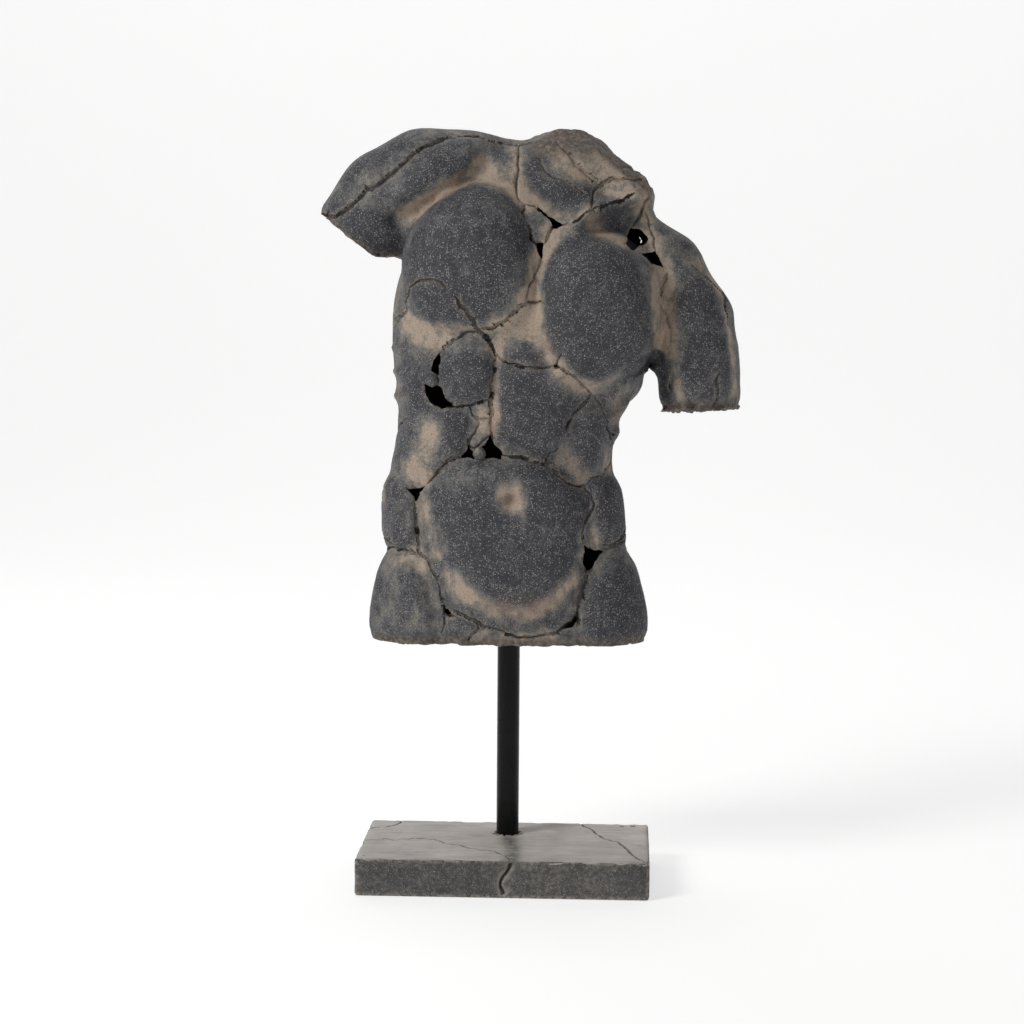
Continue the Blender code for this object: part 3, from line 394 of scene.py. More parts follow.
# Tone laid on the stone in soft strokes: the amount is above zero for pale dust and below it for darker
# stone; the dark strokes in the shoulder's groove, under the shoulder, under the arm, on its inner side and
# low on the right breast are painted shade. The width is in shares and the line in pixels of the photograph.
WASHES = (
    Wash("shoulder_groove", 1.15, 2.3, ((406, 211), (430, 200), (455, 188), (480, 169))),
    # Painted shade along the middle of the shoulder's groove.
    Wash("shoulder_groove_shade", -0.30, 0.8, ((428, 202), (444, 195), (456, 189))),
    Wash("throat_right", 0.45, 2.4, ((493, 176), (508, 190), (520, 199))),
    Wash("throat_line", 0.65, 1.8, ((516, 150), (519, 172), (521, 196))),
    Wash("throat_floor", 0.7, 2.2, ((527, 200), (545, 206), (566, 222), (590, 211))),
    Wash("breastbone_high", 0.9, 2.0, ((552, 234), (544, 256), (537, 274))),
    Wash("breastbone", 0.75, 2.6, ((536, 262), (530, 296), (534, 316), (543, 343), (557, 364))),
    Wash("breastbone_low", 0.35, 3.0, ((508, 330), (527, 334))),
    Wash("under_breast_right", 0.75, 1.7, ((404, 314), (418, 324), (440, 327), (462, 326), (486, 328),
        (512, 315), (530, 300))),
    Wash("ribs_high", 0.5, 2.0, ((402, 330), (420, 336), (436, 342))),
    Wash("left_breast_rim", 0.55, 1.7, ((562, 372), (580, 384), (600, 384), (624, 375), (646, 354))),
    Wash("armpit", 1.7, 2.0, ((662, 268), (657, 297), (657, 321), (661, 343))),
    Wash("shoulder_hollow", 0.7, 3.0, ((592, 229), (608, 234), (622, 240))),
    Wash("neck_break", 1.0, 3.6, ((566, 160), (590, 166), (612, 176), (640, 180))),
    Wash("collarbone_top", 0.3, 2.0, ((604, 190), (622, 188), (644, 190))),
    Wash("shoulder_rise", 0.5, 2.2, ((640, 208), (651, 232), (655, 246))),
    Wash("arm_inner_edge", 0.6, 1.7, ((669, 292), (672, 330), (676, 372), (678, 400))),
    Wash("arm_outer_edge", 0.75, 1.5, ((716, 282), (727, 318), (733, 352), (735, 392))),
    Wash("arm_step", 0.35, 2.0, ((690, 262), (704, 272), (716, 282))),
    Wash("middle", 0.6, 1.6, ((498, 352), (497, 384), (496, 421), (492, 432))),
    Wash("block_top", 0.35, 1.6, ((446, 344), (470, 346), (488, 352))),
    Wash("oblique_right", 1.1, 2.6, ((430, 436), (427, 454), (418, 470))),
    Wash("shards", 0.45, 1.8, ((482, 409), (486, 425), (470, 444))),
    Wash("oblique_left", 0.5, 2.0, ((566, 450), (573, 463), (580, 479))),
    Wash("oblique_top", 0.4, 2.4, ((562, 374), (579, 382))),
    Wash("flank_edge_left", 0.5, 1.6, ((606, 440), (608, 470))),
    Wash("belly_rim_right", 0.6, 2.2, ((428, 510), (430, 536), (446, 567), (462, 590))),
    Wash("belly_rim_foot", 0.62, 2.2, ((462, 590), (490, 606), (521, 614), (552, 604), (572, 580))),
    Wash("belly_rim_left", 0.55, 1.8, ((572, 580), (580, 556), (581, 530))),
    Wash("navel", 1.2, 3.0, ((511, 499), (512, 500))),
    Wash("navel_core", -0.75, 1.1, ((508, 497), (509, 498))),
    Wash("belly_streak", 0.3, 1.2, ((526, 505), (520, 525), (516, 548))),
    Wash("belly_top", 0.35, 1.8, ((509, 462), (510, 472))),
    Wash("hip_left_patch", 0.6, 2.4, ((594, 526), (597, 536))),
    Wash("hip_right_top", 0.35, 2.4, ((388, 558), (424, 564))),
    Wash("hip_left_top", 0.35, 2.2, ((604, 562), (632, 552))),
    Wash("flank_edge_right", 0.5, 1.3, ((383, 488), (381, 512), (383, 540))),
    Wash("under_belly", 0.4, 2.2, ((486, 633), (515, 641), (548, 640))),
    Wash("breast_right_dark", -0.25, 7.0, ((420, 235), (470, 225), (500, 250))),
    # Painted shade on the lower part of the right breast.
    Wash("breast_right_low_shade", -0.5, 4.0, ((430, 296), (470, 305))),
    Wash("breast_left_dark", -0.9, 6.5, ((575, 260), (590, 300), (600, 340))),
    Wash("belly_dark", -0.6, 4.5, ((460, 520), (480, 560), (510, 585), (540, 560), (552, 520))),
    Wash("block_left_dark", -0.8, 3.8, ((518, 374), (528, 392), (534, 412), (516, 424))),
    Wash("block_right_dark", -0.85, 3.4, ((462, 370), (472, 385))),
    Wash("arm_dark", -0.4, 4.0, ((698, 300), (700, 350))),
    Wash("oblique_left_dark", -0.5, 2.5, ((590, 430), (592, 450))),
    Wash("hip_left_dark", -0.6, 4.0, ((610, 590), (640, 610))),
    Wash("hip_left_corner_dark", -0.5, 2.5, ((626, 632), (644, 628))),
    # Painted shade under the right shoulder's stump and on its lower side.
    Wash("shoulder_under_shade", -0.8, 3.2, ((362, 240), (378, 247), (396, 246))),
    Wash("shoulder_low_shade", -0.9, 3.8, ((344, 222), (366, 228))),
    Wash("shoulder_top_dark", -0.4, 3.5, ((360, 165), (395, 145))),
    # Painted shade under the arm and along its inner side.
    Wash("underarm_shade", -0.9, 2.4, ((632, 372), (646, 364), (655, 358))),
    Wash("arm_inner_shade", -0.7, 2.0, ((656, 356), (661, 378), (665, 400))),
    Wash("flank_left_dark", -0.5, 3.5, ((612, 500), (630, 505), (634, 530))),
    Wash("hip_right_pale", 0.22, 5.0, ((395, 592), (418, 612))),
    Wash("belly_left_dark", -0.9, 4.4, ((560, 500), (564, 530), (552, 560), (530, 575))),
    Wash("throat_dark", -0.5, 2.6, ((536, 168), (540, 186), (550, 196))),
    Wash("neck_foot_dark", -0.45, 2.4, ((564, 192), (580, 200), (586, 194))),
    Wash("collarbone_dark", -0.6, 2.6, ((582, 222), (604, 214), (622, 214))),
    Wash("ribs_dark", -0.35, 2.6, ((404, 352), (410, 372), (412, 394))),
    Wash("waist_right_dark", -0.3, 2.6, ((454, 424), (462, 436))),
    Wash("waist_edge_dark", -0.3, 2.4, ((396, 430), (400, 450))),
)

# Reddish earth in the deepest places.
EARTH = (
    Wash("groove", 0.9, 1.3, ((424, 203), (444, 195), (462, 185))),
    Wash("shoulder_hollow", 0.7, 2.6, ((596, 231), (612, 236))),
    Wash("armpit", 0.5, 1.6, ((664, 290), (662, 318), (664, 342))),
    Wash("navel", 0.9, 1.9, ((509, 498), (510, 499))),
    Wash("middle", 0.6, 1.0, ((494, 386), (494, 421), (492, 432))),
    Wash("belly_foot", 0.7, 1.8, ((498, 607), (522, 612), (552, 602))),
    Wash("breastbone", 0.35, 1.8, ((540, 330), (552, 356))),
    Wash("oblique_left", 0.4, 1.6, ((572, 462), (580, 478))),
    Wash("flank_left", 0.5, 1.8, ((618, 400), (622, 430), (616, 460))),
)


def smooth_min(a, b, blend):
    """The lesser of two distances, with the step between them rounded over the blend."""
    h = np.maximum(blend - np.abs(a - b), 0) / blend
    return np.minimum(a, b) - h * h * h * blend / 6


def smooth_max(a, b, blend):
    return -smooth_min(-a, -b, blend)


def smooth_step(low, high, value):
    t = np.clip((value - low) / (high - low), 0, 1)
    return t * t * (3 - 2 * t)


def section_value(z, name):
    """A section's measure at any height, on a smooth curve through the sections."""
    heights = np.array([s.z for s in SECTIONS], float)
    values = np.array([getattr(s, name) for s in SECTIONS], float)
    slopes = np.gradient(values, heights)
    i = np.clip(np.searchsorted(heights, z) - 1, 0, len(heights) - 2)
    step = heights[i + 1] - heights[i]
    t = np.clip((z - heights[i]) / step, 0, 1)
    t2, t3 = t * t, t * t * t
    rise = (t3 - 2 * t2 + t) * slopes[i] + (t3 - t2) * slopes[i + 1]
    return (2 * t3 - 3 * t2 + 1) * values[i] + (3 * t2 - 2 * t3) * values[i + 1] + rise * step


def trunk_distance(p):
    """Distance from the lofted trunk, whose sections are rounded rectangles."""
    x, y, z = p.T
    n = TRUNK_SQUARENESS
    width = section_value(z, "half_width")
    front = section_value(z, "front")
    back = section_value(z, "back")
    depth = (back - front) / 2
    across = np.abs(x - section_value(z, "middle")) / width
    through = np.abs(y - (front + back) / 2) / depth
    reach = np.maximum(across**n + through**n, 1e-9) ** (1 / n)
    slope = reach ** (1 - n) * np.hypot(across ** (n - 1) / width, through ** (n - 1) / depth)
    return smooth_max((reach - 1) / np.maximum(slope, 1e-3), z - TRUNK_TOP, 3)


def turn_matrix(turn):
    return np.array(Euler([math.radians(a) for a in turn]).to_matrix())


def mass_distance(p, mass):
    q = (p - np.array(mass.at, float)) @ turn_matrix(mass.turn)
    r = np.array(mass.radii, float)
    near = np.sqrt(((q / r) ** 2).sum(1))
    slope = np.sqrt(((q / (r * r)) ** 2).sum(1))
    return near * (near - 1) / np.maximum(slope, 1e-6)


def bone_distance(p, bone):
    start, end = np.array(bone.start, float), np.array(bone.end, float)
    run = end - start
    t = np.clip(((p - start) @ run) / (run @ run), 0, 1)
    q = p - start - t[:, None] * run
    q[:, 1] /= bone.depth
    radius = bone.start_radius + (bone.end_radius - bone.start_radius) * t
    return (np.sqrt((q * q).sum(1)) - radius) * min(1, bone.depth)


def facing_of(cut):
    facing = np.array(cut.facing, float)
    return facing / np.linalg.norm(facing)


def cut_distance(p, cut):
    return (p - np.array(cut.at, float)) @ facing_of(cut)


def limb_distance(p, limb):
    found = None
    for bone in limb.bones:
        one = bone_distance(p, bone)
        found = one if found is None else smooth_min(found, one, 3.0)
    for cut in limb.cuts:
        found = smooth_max(found, cut_distance(p, cut), cut.blend)
    return found


def body_distance(p, limbs=LIMBS):
    """Distance from the body without its plates and strokes."""
    found = trunk_distance(p)
    for mass in MASSES:
        found = smooth_min(found, mass_distance(p, mass), mass.blend)
    for limb in limbs:
        found = smooth_min(found, limb_distance(p, limb), limb.blend)
    return found


def plate_lift(x, z, plate):
    """How far a plate raises the surface: flat in its middle, falling off to nothing at its edge."""
    lean = math.radians(plate.lean)
    dx, dz = x - plate.at[0], z - plate.at[1]
    along = (dx * math.cos(lean) + dz * math.sin(lean)) / plate.half[0]
    up = (dz * math.cos(lean) - dx * math.sin(lean)) / plate.half[1]
    along = along / (1 + plate.taper * np.clip(up, -1, 1))
    lift = np.zeros(len(x))
    near = (np.abs(along) < 1) & (np.abs(up) < 1)
    n = plate.square
    reach = (np.abs(along[near]) ** n + np.abs(up[near]) ** n) ** (1 / n)
    inward = np.clip((1 - reach) * min(plate.half) / plate.edge, 0, 1)
    lift[near] = plate.lift * (1 - (1 - inward) ** 2.2)
    return lift


def stroke_lift(x, z, stroke):
    """How far a stroke raises the surface, or lowers it, along its line."""
    points = stroke.points
    nearest = np.full(len(x), np.inf)
    for (x0, z0), (x1, z1) in zip(points, points[1:] or points):
        dx, dz = x1 - x0, z1 - z0
        t = np.clip(((x - x0) * dx + (z - z0) * dz) / max(dx * dx + dz * dz, 1e-9), 0, 1)
        nearest = np.minimum(nearest, (x - x0 - t * dx) ** 2 + (z - z0 - t * dz) ** 2)
    return stroke.lift * np.exp(-nearest / stroke.width**2)


def side_weights(y):
    """How much of the front's relief, and of the back's, shows at each depth."""
    return {FRONT: smooth_step(1.5, -4.5, y), BACK: smooth_step(3.0, 9.0, y)}


def relief(p):
    """The height of all plates and strokes, each on its own side of the body."""
    x, y, z = p.T
    weights = side_weights(y)
    height = np.zeros(len(p))
    for plate in PLATES:
        height += plate_lift(x, z, plate) * weights[plate.side]
    for stroke in STROKES:
        height += stroke_lift(x, z, stroke) * weights[stroke.side]
    return height


def outer_distance(p):
    """Distance from the torso's outer face."""
    found = body_distance(p) - relief(p)
    return smooth_max(found, cut_distance(p, UNDERSIDE), UNDERSIDE.blend)


def core_distance(p):
    """Distance from the hollow: a wall inside the body, and further in behind each groove."""
    wall = TORSO_WALL / SHARE + np.maximum(-relief(p), 0)
    hollow_body = body_distance(p, [limb for limb in LIMBS if limb.hollow])
    return smooth_max(hollow_body + wall, TORSO_FLOOR / SHARE - p[:, 2], 1.5)


def slopes_of(distance, p, here, step=0.1):
    found = np.zeros_like(p)
    for axis in range(3):
        shift = np.zeros(3)
        shift[axis] = step
        found[:, axis] = (distance(p + shift) - here) / step
    return found


def points_of(mesh):
    flat = np.empty(len(mesh.vertices) * 3)
    mesh.vertices.foreach_get("co", flat)
    return flat.reshape(-1, 3)


def set_points(mesh, points):
    mesh.vertices.foreach_set("co", np.asarray(points, np.float32).ravel())
    mesh.update()


def settle(mesh, distance, steps=SETTLE_STEPS):
    """Moves a mesh onto the surface where the distance is zero, and evens out its points along it."""
    points = points_of(mesh)
    ends = np.empty(len(mesh.edges) * 2, int)
    mesh.edges.foreach_get("vertices", ends)
    ends = ends.reshape(-1, 2)
    count = np.bincount(ends.ravel(), minlength=len(points))[:, None]
    for step in range(steps):
        here = distance(points)
        slopes = slopes_of(distance, points, here)
        square = np.maximum((slopes * slopes).sum(1), 0.05)[:, None]
        move = -(here[:, None] / square) * slopes
        length = np.linalg.norm(move, axis=1)[:, None]
        points = points + move * np.minimum(1, STEP_LIMIT / np.maximum(length, 1e-9))
        if step >= steps - 2:
            continue
        around = np.zeros_like(points)
        for axis in range(3):
            around[:, axis] += np.bincount(ends[:, 0], points[ends[:, 1], axis], len(points))
            around[:, axis] += np.bincount(ends[:, 1], points[ends[:, 0], axis], len(points))
        drift = around / count - points
        normal = slopes / np.sqrt(square)
        drift -= (drift * normal).sum(1)[:, None] * normal
        points = points + 0.5 * drift
    set_points(mesh, points)


def close_rings(bm, rings):
    """Faces between each two rings of points, and a cap at each end."""
    for low, high in zip(rings, rings[1:]):
        for i in range(len(low)):
            j = (i + 1) % len(low)
            bm.faces.new((low[i], low[j], high[j], high[i]))
    return [bm.faces.new(rings[0][::-1]), bm.faces.new(rings[-1])]


def add_trunk_loft(bm, inset):
    """A rough loft through the trunk's sections, pulled in by the inset."""
    rings = []
    bottom = SECTIONS[0].z if inset == 0 else TORSO_FLOOR / SHARE
    for z in np.linspace(bottom, TRUNK_TOP - inset, TRUNK_RINGS):
        at = np.array([z])
        width = section_value(at, "half_width")[0] - inset
        front = section_value(at, "front")[0] + inset
        back = section_value(at, "back")[0] - inset
        middle = section_value(at, "middle")[0]
        if width < 1 or back - front < 2:
            break
        ring = []
        for step in range(RING_POINTS):
            angle = math.tau * step / RING_POINTS
            c, s = math.cos(angle), math.sin(angle)
            across = math.copysign(abs(c) ** (2 / TRUNK_SQUARENESS), c)
            through = math.copysign(abs(s) ** (2 / TRUNK_SQUARENESS), s)
            y = (front + back) / 2 + (back - front) / 2 * through
            ring.append(bm.verts.new((middle + width * across, y, z)))
        rings.append(ring)
    close_rings(bm, rings)


def add_ball(bm, at, radii):
    place = Matrix.Translation(at) @ Matrix.Diagonal((*radii, 1))
    bmesh.ops.create_icosphere(bm, subdivisions=3, radius=1, matrix=place)


def add_limb_balls(bm, limb, inset):
    """Rounds along each bone, left out where a break has taken them away."""
    for bone in limb.bones:
        start, end = Vector(bone.start), Vector(bone.end)
        for step in range(LIMB_BALLS):
            t = step / (LIMB_BALLS - 1)
            at = start.lerp(end, t)
            radius = bone.start_radius + (bone.end_radius - bone.start_radius) * t - inset
            past = max([cut_distance(np.array([at]), cut)[0] for cut in limb.cuts] or [-radius])
            radius = min(radius, radius * 0.5 - past)
            if radius > 1.5:
                add_ball(bm, at, (radius, radius * bone.depth, radius))


def block_out(name, inset, voxel):
    """One closed mesh near the form: overlapping primitives, joined by a voxel remesh."""
    bm = bmesh.new()
    add_trunk_loft(bm, inset)
    for mass in MASSES:
        if inset and mass.at[2] < TORSO_FLOOR / SHARE:
            continue
        radii = [r - inset for r in mass.radii]
        place = Matrix.Translation(mass.at) @ Matrix(turn_matrix(mass.turn).tolist()).to_4x4()
        place = place @ Matrix.Diagonal((*radii, 1))
        bmesh.ops.create_icosphere(bm, subdivisions=3, radius=1, matrix=place)
    for limb in LIMBS:
        if limb.hollow or not inset:
            add_limb_balls(bm, limb, inset)
    block = new_object(name + "_block", bm, bpy.context.scene.collection)
    remesh = block.modifiers.new("Remesh", "REMESH")
    remesh.mode = "VOXEL"
    remesh.voxel_size = voxel
    mesh = evaluated_mesh(block)
    bpy.data.objects.remove(block)
    return mesh


def evaluated_mesh(obj):
    graph = bpy.context.evaluated_depsgraph_get()
    return bpy.data.meshes.new_from_object(obj.evaluated_get(graph))


def new_object(name, bm, collection):
    mesh = bpy.data.meshes.new(name)
    bm.to_mesh(mesh)
    bm.free()
    obj = bpy.data.objects.new(name, mesh)
    collection.objects.link(obj)
    return obj


FORWARD = Vector((math.sin(CAMERA_YAW), math.cos(CAMERA_YAW), 0)) * math.cos(CAMERA_PITCH)
FORWARD.z = -math.sin(CAMERA_PITCH)
LEVEL = Vector((math.cos(CAMERA_YAW), -math.sin(CAMERA_YAW), 0))
RIGHT = LEVEL * math.cos(CAMERA_ROLL) + LEVEL.cross(FORWARD) * math.sin(CAMERA_ROLL)
UP = RIGHT.cross(FORWARD)
CAMERA_IN_SHARES = (CAMERA_PLACE - TORSO_PLACE) / SHARE


def pixel_ray(px, py):
    """The direction in which the camera sees a pixel of the photograph."""
    across = (px - PHOTO_SIZE / 2) / PHOTO_FOCAL
    down = (py - PHOTO_SIZE / 2) / PHOTO_FOCAL
    return (FORWARD + RIGHT * across - UP * down).normalized()


def jagged(line, dice, finest, kink, rounds):
    """The line with a small kink between each two of its points."""
    points = [Vector(p) for p in line]
    for _ in range(rounds):
        finer = [points[0]]
        for a, b in zip(points, points[1:]):
            run = b - a
            if run.length > finest:
                finer.append((a + b) / 2 + Vector((-run.y, run.x)) * dice.uniform(-kink, kink))
            finer.append(b)
        points = finer
    return points


def even_steps(points, step):
    """Points at an even step along a line, each with how far along it is, from 0 to 1."""
    lengths = [(b - a).length for a, b in zip(points, points[1:])]
    total = sum(lengths)
    count = max(2, round(total / step))
    found = []
    i, passed = 0, 0.0
    for k in range(count + 1):
        along = total * k / count
        while i < len(lengths) - 1 and passed + lengths[i] < along:
            passed += lengths[i]
            i += 1
        t = (along - passed) / max(lengths[i], 1e-9)
        found.append((points[i].lerp(points[i + 1], min(1, t)), k / count))
    return found


class Lines:
    """Lines laid on a surface: their points, with the width and depth or tone of each, and a search tree."""

    def __init__(self):
        self.points = []
        self.values = []
        self.line = []
        self.count = 0
        self.tree = None

    def add(self, places, value_of):
        """Adds a line, leaving out the places that missed the surface."""
        self.count += 1
        for place, along in places:
            if place is None:
                self.count += 1
                continue
            self.points.append(place)
            self.values.append(value_of(place, along))
            self.line.append(self.count)

    def plant(self):
        self.tree = KDTree(len(self.points))
        for i, point in enumerate(self.points):
            self.tree.insert(point, i)
        self.tree.balance()

    def nearest(self, place, reach):
        """The distance to the nearest line and the values there, or None beyond the reach."""
        _, i, far = self.tree.find(place)
        if far > reach:
            return None
        here = self.points[i]
        for j in (i - 1, i + 1):
            if not 0 <= j < len(self.points) or self.line[j] != self.line[i]:
                continue
            run = self.points[j] - here
            t = max(0, min(1, (place - here).dot(run) / max(run.length_squared, 1e-12)))
            far = min(far, (place - here - run * t).length)
        return far, self.values[i]


def plain_lines(places):
    """One line whose points carry no values."""
    lines = Lines()
    lines.add(places, no_value)
    lines.plant()
    return lines


def no_value(place, along):
    return None


def taper(along, least=0.45):
    """How much of a crack's width is left towards its ends."""
    return min(1, least + 6 * min(along, 1 - along))


def on_surface(tree, origin, direction):
    place, normal, _, _ = tree.ray_cast(origin, direction)
    return place, normal


def seen_places(tree, line, dice, step=0.9, kink=0.10):
    """Where the camera's rays through a line of pixels meet the torso, in shares."""
    bent = even_steps(jagged(line, dice, 5, kink, 3), step)
    return [(on_surface(tree, CAMERA_IN_SHARES, pixel_ray(*p))[0], along) for p, along in bent]


def cast_places(tree, line, dice, place_of, direction, step=0.18):
    """Where rays along one direction, from places over a line, meet the torso."""
    bent = even_steps(jagged(line, dice, 1.0, 0.10, 3), step)
    return [(on_surface(tree, place_of(p), direction)[0], along) for p, along in bent]


def crack_value(crack):
    """A crack's half width and depth at a place on it, uneven along its length."""
    def value(place, along):
        uneven = CRACK_WIDENING * (1 + 0.5 * noise.noise(place * 0.45))
        return crack.width * uneven * taper(along), crack.depth * taper(along)
    return value


def all_cracks(tree):
    dice = random.Random(7)
    lines = Lines()
    for crack in FRONT_CRACKS:
        lines.add(seen_places(tree, crack.line, dice), crack_value(crack))
    for cracks, place_of, direction in (
        (BACK_CRACKS, lambda p: Vector((p.x, BEHIND, p.y)), TO_FRONT),
        (LEFT_CRACKS, lambda p: Vector((BESIDE, p.x, p.y)), Vector((-1, 0, 0))),
        (RIGHT_CRACKS, lambda p: Vector((-BESIDE, p.x, p.y)), Vector((1, 0, 0))),
    ):
        for crack in cracks:
            lines.add(cast_places(tree, crack.line, dice, place_of, direction), crack_value(crack))
    lines.plant()
    return lines


def gap_rings(tree, gap, dice):
    """A gap's outline as places on the surface, each with the direction that the cutter takes there."""
    outline = list(gap.outline) + [gap.outline[0]]
    found = []
    if gap in BACK_GAPS:
        for p, _ in even_steps(jagged(outline, dice, 0.6, 0.16, 2), 0.42)[:-1]:
            place, _ = on_surface(tree, Vector((p.x, BEHIND, p.y)), TO_FRONT)
            found.append((place, TO_FRONT))
        return found
    for p, _ in even_steps(jagged(outline, dice, 3, 0.14, 2), 2.1)[:-1]:
        ray = pixel_ray(*p)
        place, _ = on_surface(tree, CAMERA_IN_SHARES, ray)
        found.append((place, ray))
    return found


def gap_cutter(name, rings, reach, dice, collection):
    """A rough-walled plug through the shell, from before the surface to the reach behind it."""
    places = [p for p, _ in rings if p is not None]
    middle = sum(places, Vector()) / len(places)
    steps = (-4.0, -0.4, 0.5, 1.2, 1.9, reach)
    bm = bmesh.new()
    levels = []
    for depth in steps:
        level = []
        for place, ray in rings:
            start = place if place is not None else middle
            to_middle = middle - start
            to_middle -= ray * to_middle.dot(ray)
            rough = 0 if depth < 0 else dice.uniform(-0.10, 0.10)
            at = start + ray * depth
            if to_middle.length > 1e-6:
                at += to_middle.normalized() * (rough + 0.05 * max(depth, 0))
            level.append(bm.verts.new(at))
        levels.append(level)
    bmesh.ops.triangulate(bm, faces=close_rings(bm, levels))
    bmesh.ops.recalc_face_normals(bm, faces=bm.faces)
    return new_object(name, bm, collection)


def refine(bm, wanted, distance=None):
    """Halves the edges where shorter ones are wanted, and puts the new points on the form."""
    bm.verts.ensure_lookup_table()
    old = len(bm.verts)
    edges = []
    for edge in bm.edges:
        a, b = edge.verts[0].co, edge.verts[1].co
        if (a - b).length > wanted((a + b) / 2):
            edges.append(edge)
    bmesh.ops.subdivide_edges(bm, edges=edges, cuts=1)
    bmesh.ops.triangulate(bm, faces=[f for f in bm.faces if len(f.verts) > 3])
    bm.verts.ensure_lookup_table()
    fresh = bm.verts[old:]
    if distance is None or not fresh:
        return
    points = np.array([v.co for v in fresh])
    outside = np.abs(distance(points)) < ON_FACE
    for _ in range(2):
        here = distance(points)
        slopes = slopes_of(distance, points, here)
        move = (here / np.maximum((slopes * slopes).sum(1), 0.05))[:, None] * slopes
        points -= np.where(outside[:, None], move, 0)
    for vert, point in zip(fresh, points):
        vert.co = point


def fractal(place, scale, octaves=4):
    """Uneven height between about -1 and 1."""
    return noise.fractal(place * scale, 0.9, 2.1, octaves)


def broken_weight(points, normals):
    """How much of a break each point lies on, from 0 to 1: the stumps, the neck and the underside's rim."""
    found = np.zeros(len(points))
    for limb in BROKEN_LIMBS:
        near_limb = smooth_step(3.0, 1.0, limb_distance(points, limb))
        for cut in limb.cuts:
            flat = smooth_step(0.55, 0.85, normals @ facing_of(cut))
            near_cut = smooth_step(1.6, 0.6, np.abs(cut_distance(points, cut)))
            found = np.maximum(found, flat * near_cut * near_limb)
            edge = smooth_step(*BREAK_EDGES.get(limb.name, NO_EDGE), -cut_distance(points, cut))
            found = np.maximum(found, 0.9 * edge * near_limb)
    rim = smooth_step(2.9, 1.3, points[:, 2])
    return np.maximum(found, rim)


def carve(points, normals, lines, rims):
    """Cuts the cracks into the surface, chips their lips, roughens the breaks and wears the rest."""
    broken = broken_weight(points, normals)
    outside = np.abs(outer_distance(points)) < ON_FACE
    sides = smooth_step(14, 20, np.abs(points[:, 0] - 1)) * smooth_step(34, 40, points[:, 2])
    sides *= smooth_step(64, 58, points[:, 2]) * (np.abs(points[:, 0] - 1) < 29)
    moved = points.copy()
    for i, (point, normal) in enumerate(zip(points, normals)):
        if not outside[i]:
            continue
        place = Vector(point)
        drop = 0.10 * (1 + fractal(place, 0.16, 3)) * 0.6
        drop += 0.05 * max(0, fractal(place + Vector((40, 0, 0)), 1.3, 3))
        if sides[i] > 0:
            drop += sides[i] * 0.30 * (1 + fractal(place * Vector((0.6, 0.6, 1.0)), 0.30, 1))
        if broken[i] > 0.01:
            worn = 0.35 if place.z > NECK_BREAK else ARM_WEAR if place.x > ARM_INSIDE else 1.0
            rough = 0.5 + 0.5 * fractal(place, 0.42, 4)
            pits = max(0, fractal(place + Vector((0, 70, 0)), 1.1, 3) - 0.1)
            drop += broken[i] * worn * (0.75 * rough + 0.6 * pits)
        near = lines.nearest(place, CRACK_REACH)
        if near:
            far, (width, depth) = near
            chip = max(0, noise.noise(place * 0.55 + Vector((9, 0, 0))) - 0.12)
            lip = 0.34 + 1.1 * chip
            if far < lip + width:
                drop += (0.07 + 0.42 * chip) * (1 - max(0, far - width) / lip) ** 1.4
            drop += depth * (1 - smooth(0.45, 1.2, far / max(width, 0.02)))
        near = rims.nearest(place, 1.2)
        if near:
            chip = max(0, noise.noise(place * 0.7) - 0.05)
            lip = 0.35 + 0.9 * chip
            if near[0] < lip:
                drop += (0.14 + 0.5 * chip) * (1 - near[0] / lip) ** 1.3
        moved[i] = point - normal * drop
    return moved


def smooth(low, high, value):
    t = max(0, min(1, (value - low) / (high - low)))
    return t * t * (3 - 2 * t)


def normals_at(distance, points):
    here = distance(points)
    slopes = slopes_of(distance, points, here)
    return slopes / np.maximum(np.linalg.norm(slopes, axis=1), 1e-6)[:, None]


def plate_cover(points):
    """How far inside a raised plate each point lies: 0 between the plates, 1 well inside one."""
    x, y, z = points.T
    weights = side_weights(y)
    found = np.zeros(len(points))
    for plate in PLATES:
        inside = plate_lift(x, z, plate) / plate.lift
        found = np.maximum(found, inside * weights[plate.side])
    return found


def wash_lines(tree, washes):
    dice = random.Random(3)
    return [(wash, plain_lines(seen_places(tree, wash.line, dice, 2.5, 0.04))) for wash in washes]


def wash_sum(points, washes, base):
    """Adds each wash to the base where it lies."""
    total = base.copy()
    for wash, lines in washes:
        spots = np.array([tuple(p) for p in lines.points])
        reach = wash.width * 2.4
        close = np.all((points > spots.min(0) - reach) & (points < spots.max(0) + reach), axis=1)
        for i in np.nonzero(close)[0]:
            near = lines.nearest(Vector(points[i]), reach)
            if near:
                place = Vector(points[i])
                uneven = 1 + 0.5 * noise.noise(place * 0.5) + 0.35 * noise.noise(place * 1.6)
                total[i] += wash.amount * uneven * math.exp(-((near[0] / wash.width) ** 2))
    return total


# Cracks on the sides, which the photograph hardly shows: y and z in shares.
LEFT_CRACKS = (
    Crack("flank_left", 0.18, 0.5, ((-9, 20), (-4, 22.5), (1, 20.5), (6, 23.5), (10, 27))),
    Crack("flank_left_low", 0.17, 0.45, ((-4, 22.5), (-3, 14), (0, 7), (-1, 0.6))),
    Crack("arm_left_side", 0.18, 0.5, ((-3.5, 74), (-1, 68), (1.5, 60), (0.5, 53), (3, 46))),
    Crack("waist_left_side", 0.16, 0.45, ((-7, 42), (-2, 39), (3, 41), (8, 37))),
)
RIGHT_CRACKS = (
    Crack("flank_right", 0.18, 0.5, ((-8, 19), (-3, 21), (2, 18.5), (7, 21), (11, 22))),
    Crack("flank_right_low", 0.17, 0.45, ((2, 18.5), (3, 12), (1, 6), (2, 0.6))),
    Crack("chest_right_side", 0.18, 0.5, ((-9, 66), (-3, 63), (2, 65), (7, 61), (11, 60))),
    Crack("waist_right_side", 0.16, 0.45, ((-8, 44), (-3, 41), (3, 42.5), (9, 41))),
    Crack("flank_right_high", 0.16, 0.45, ((-3, 63), (-1, 55), (-3, 48), (-3, 41))),
)


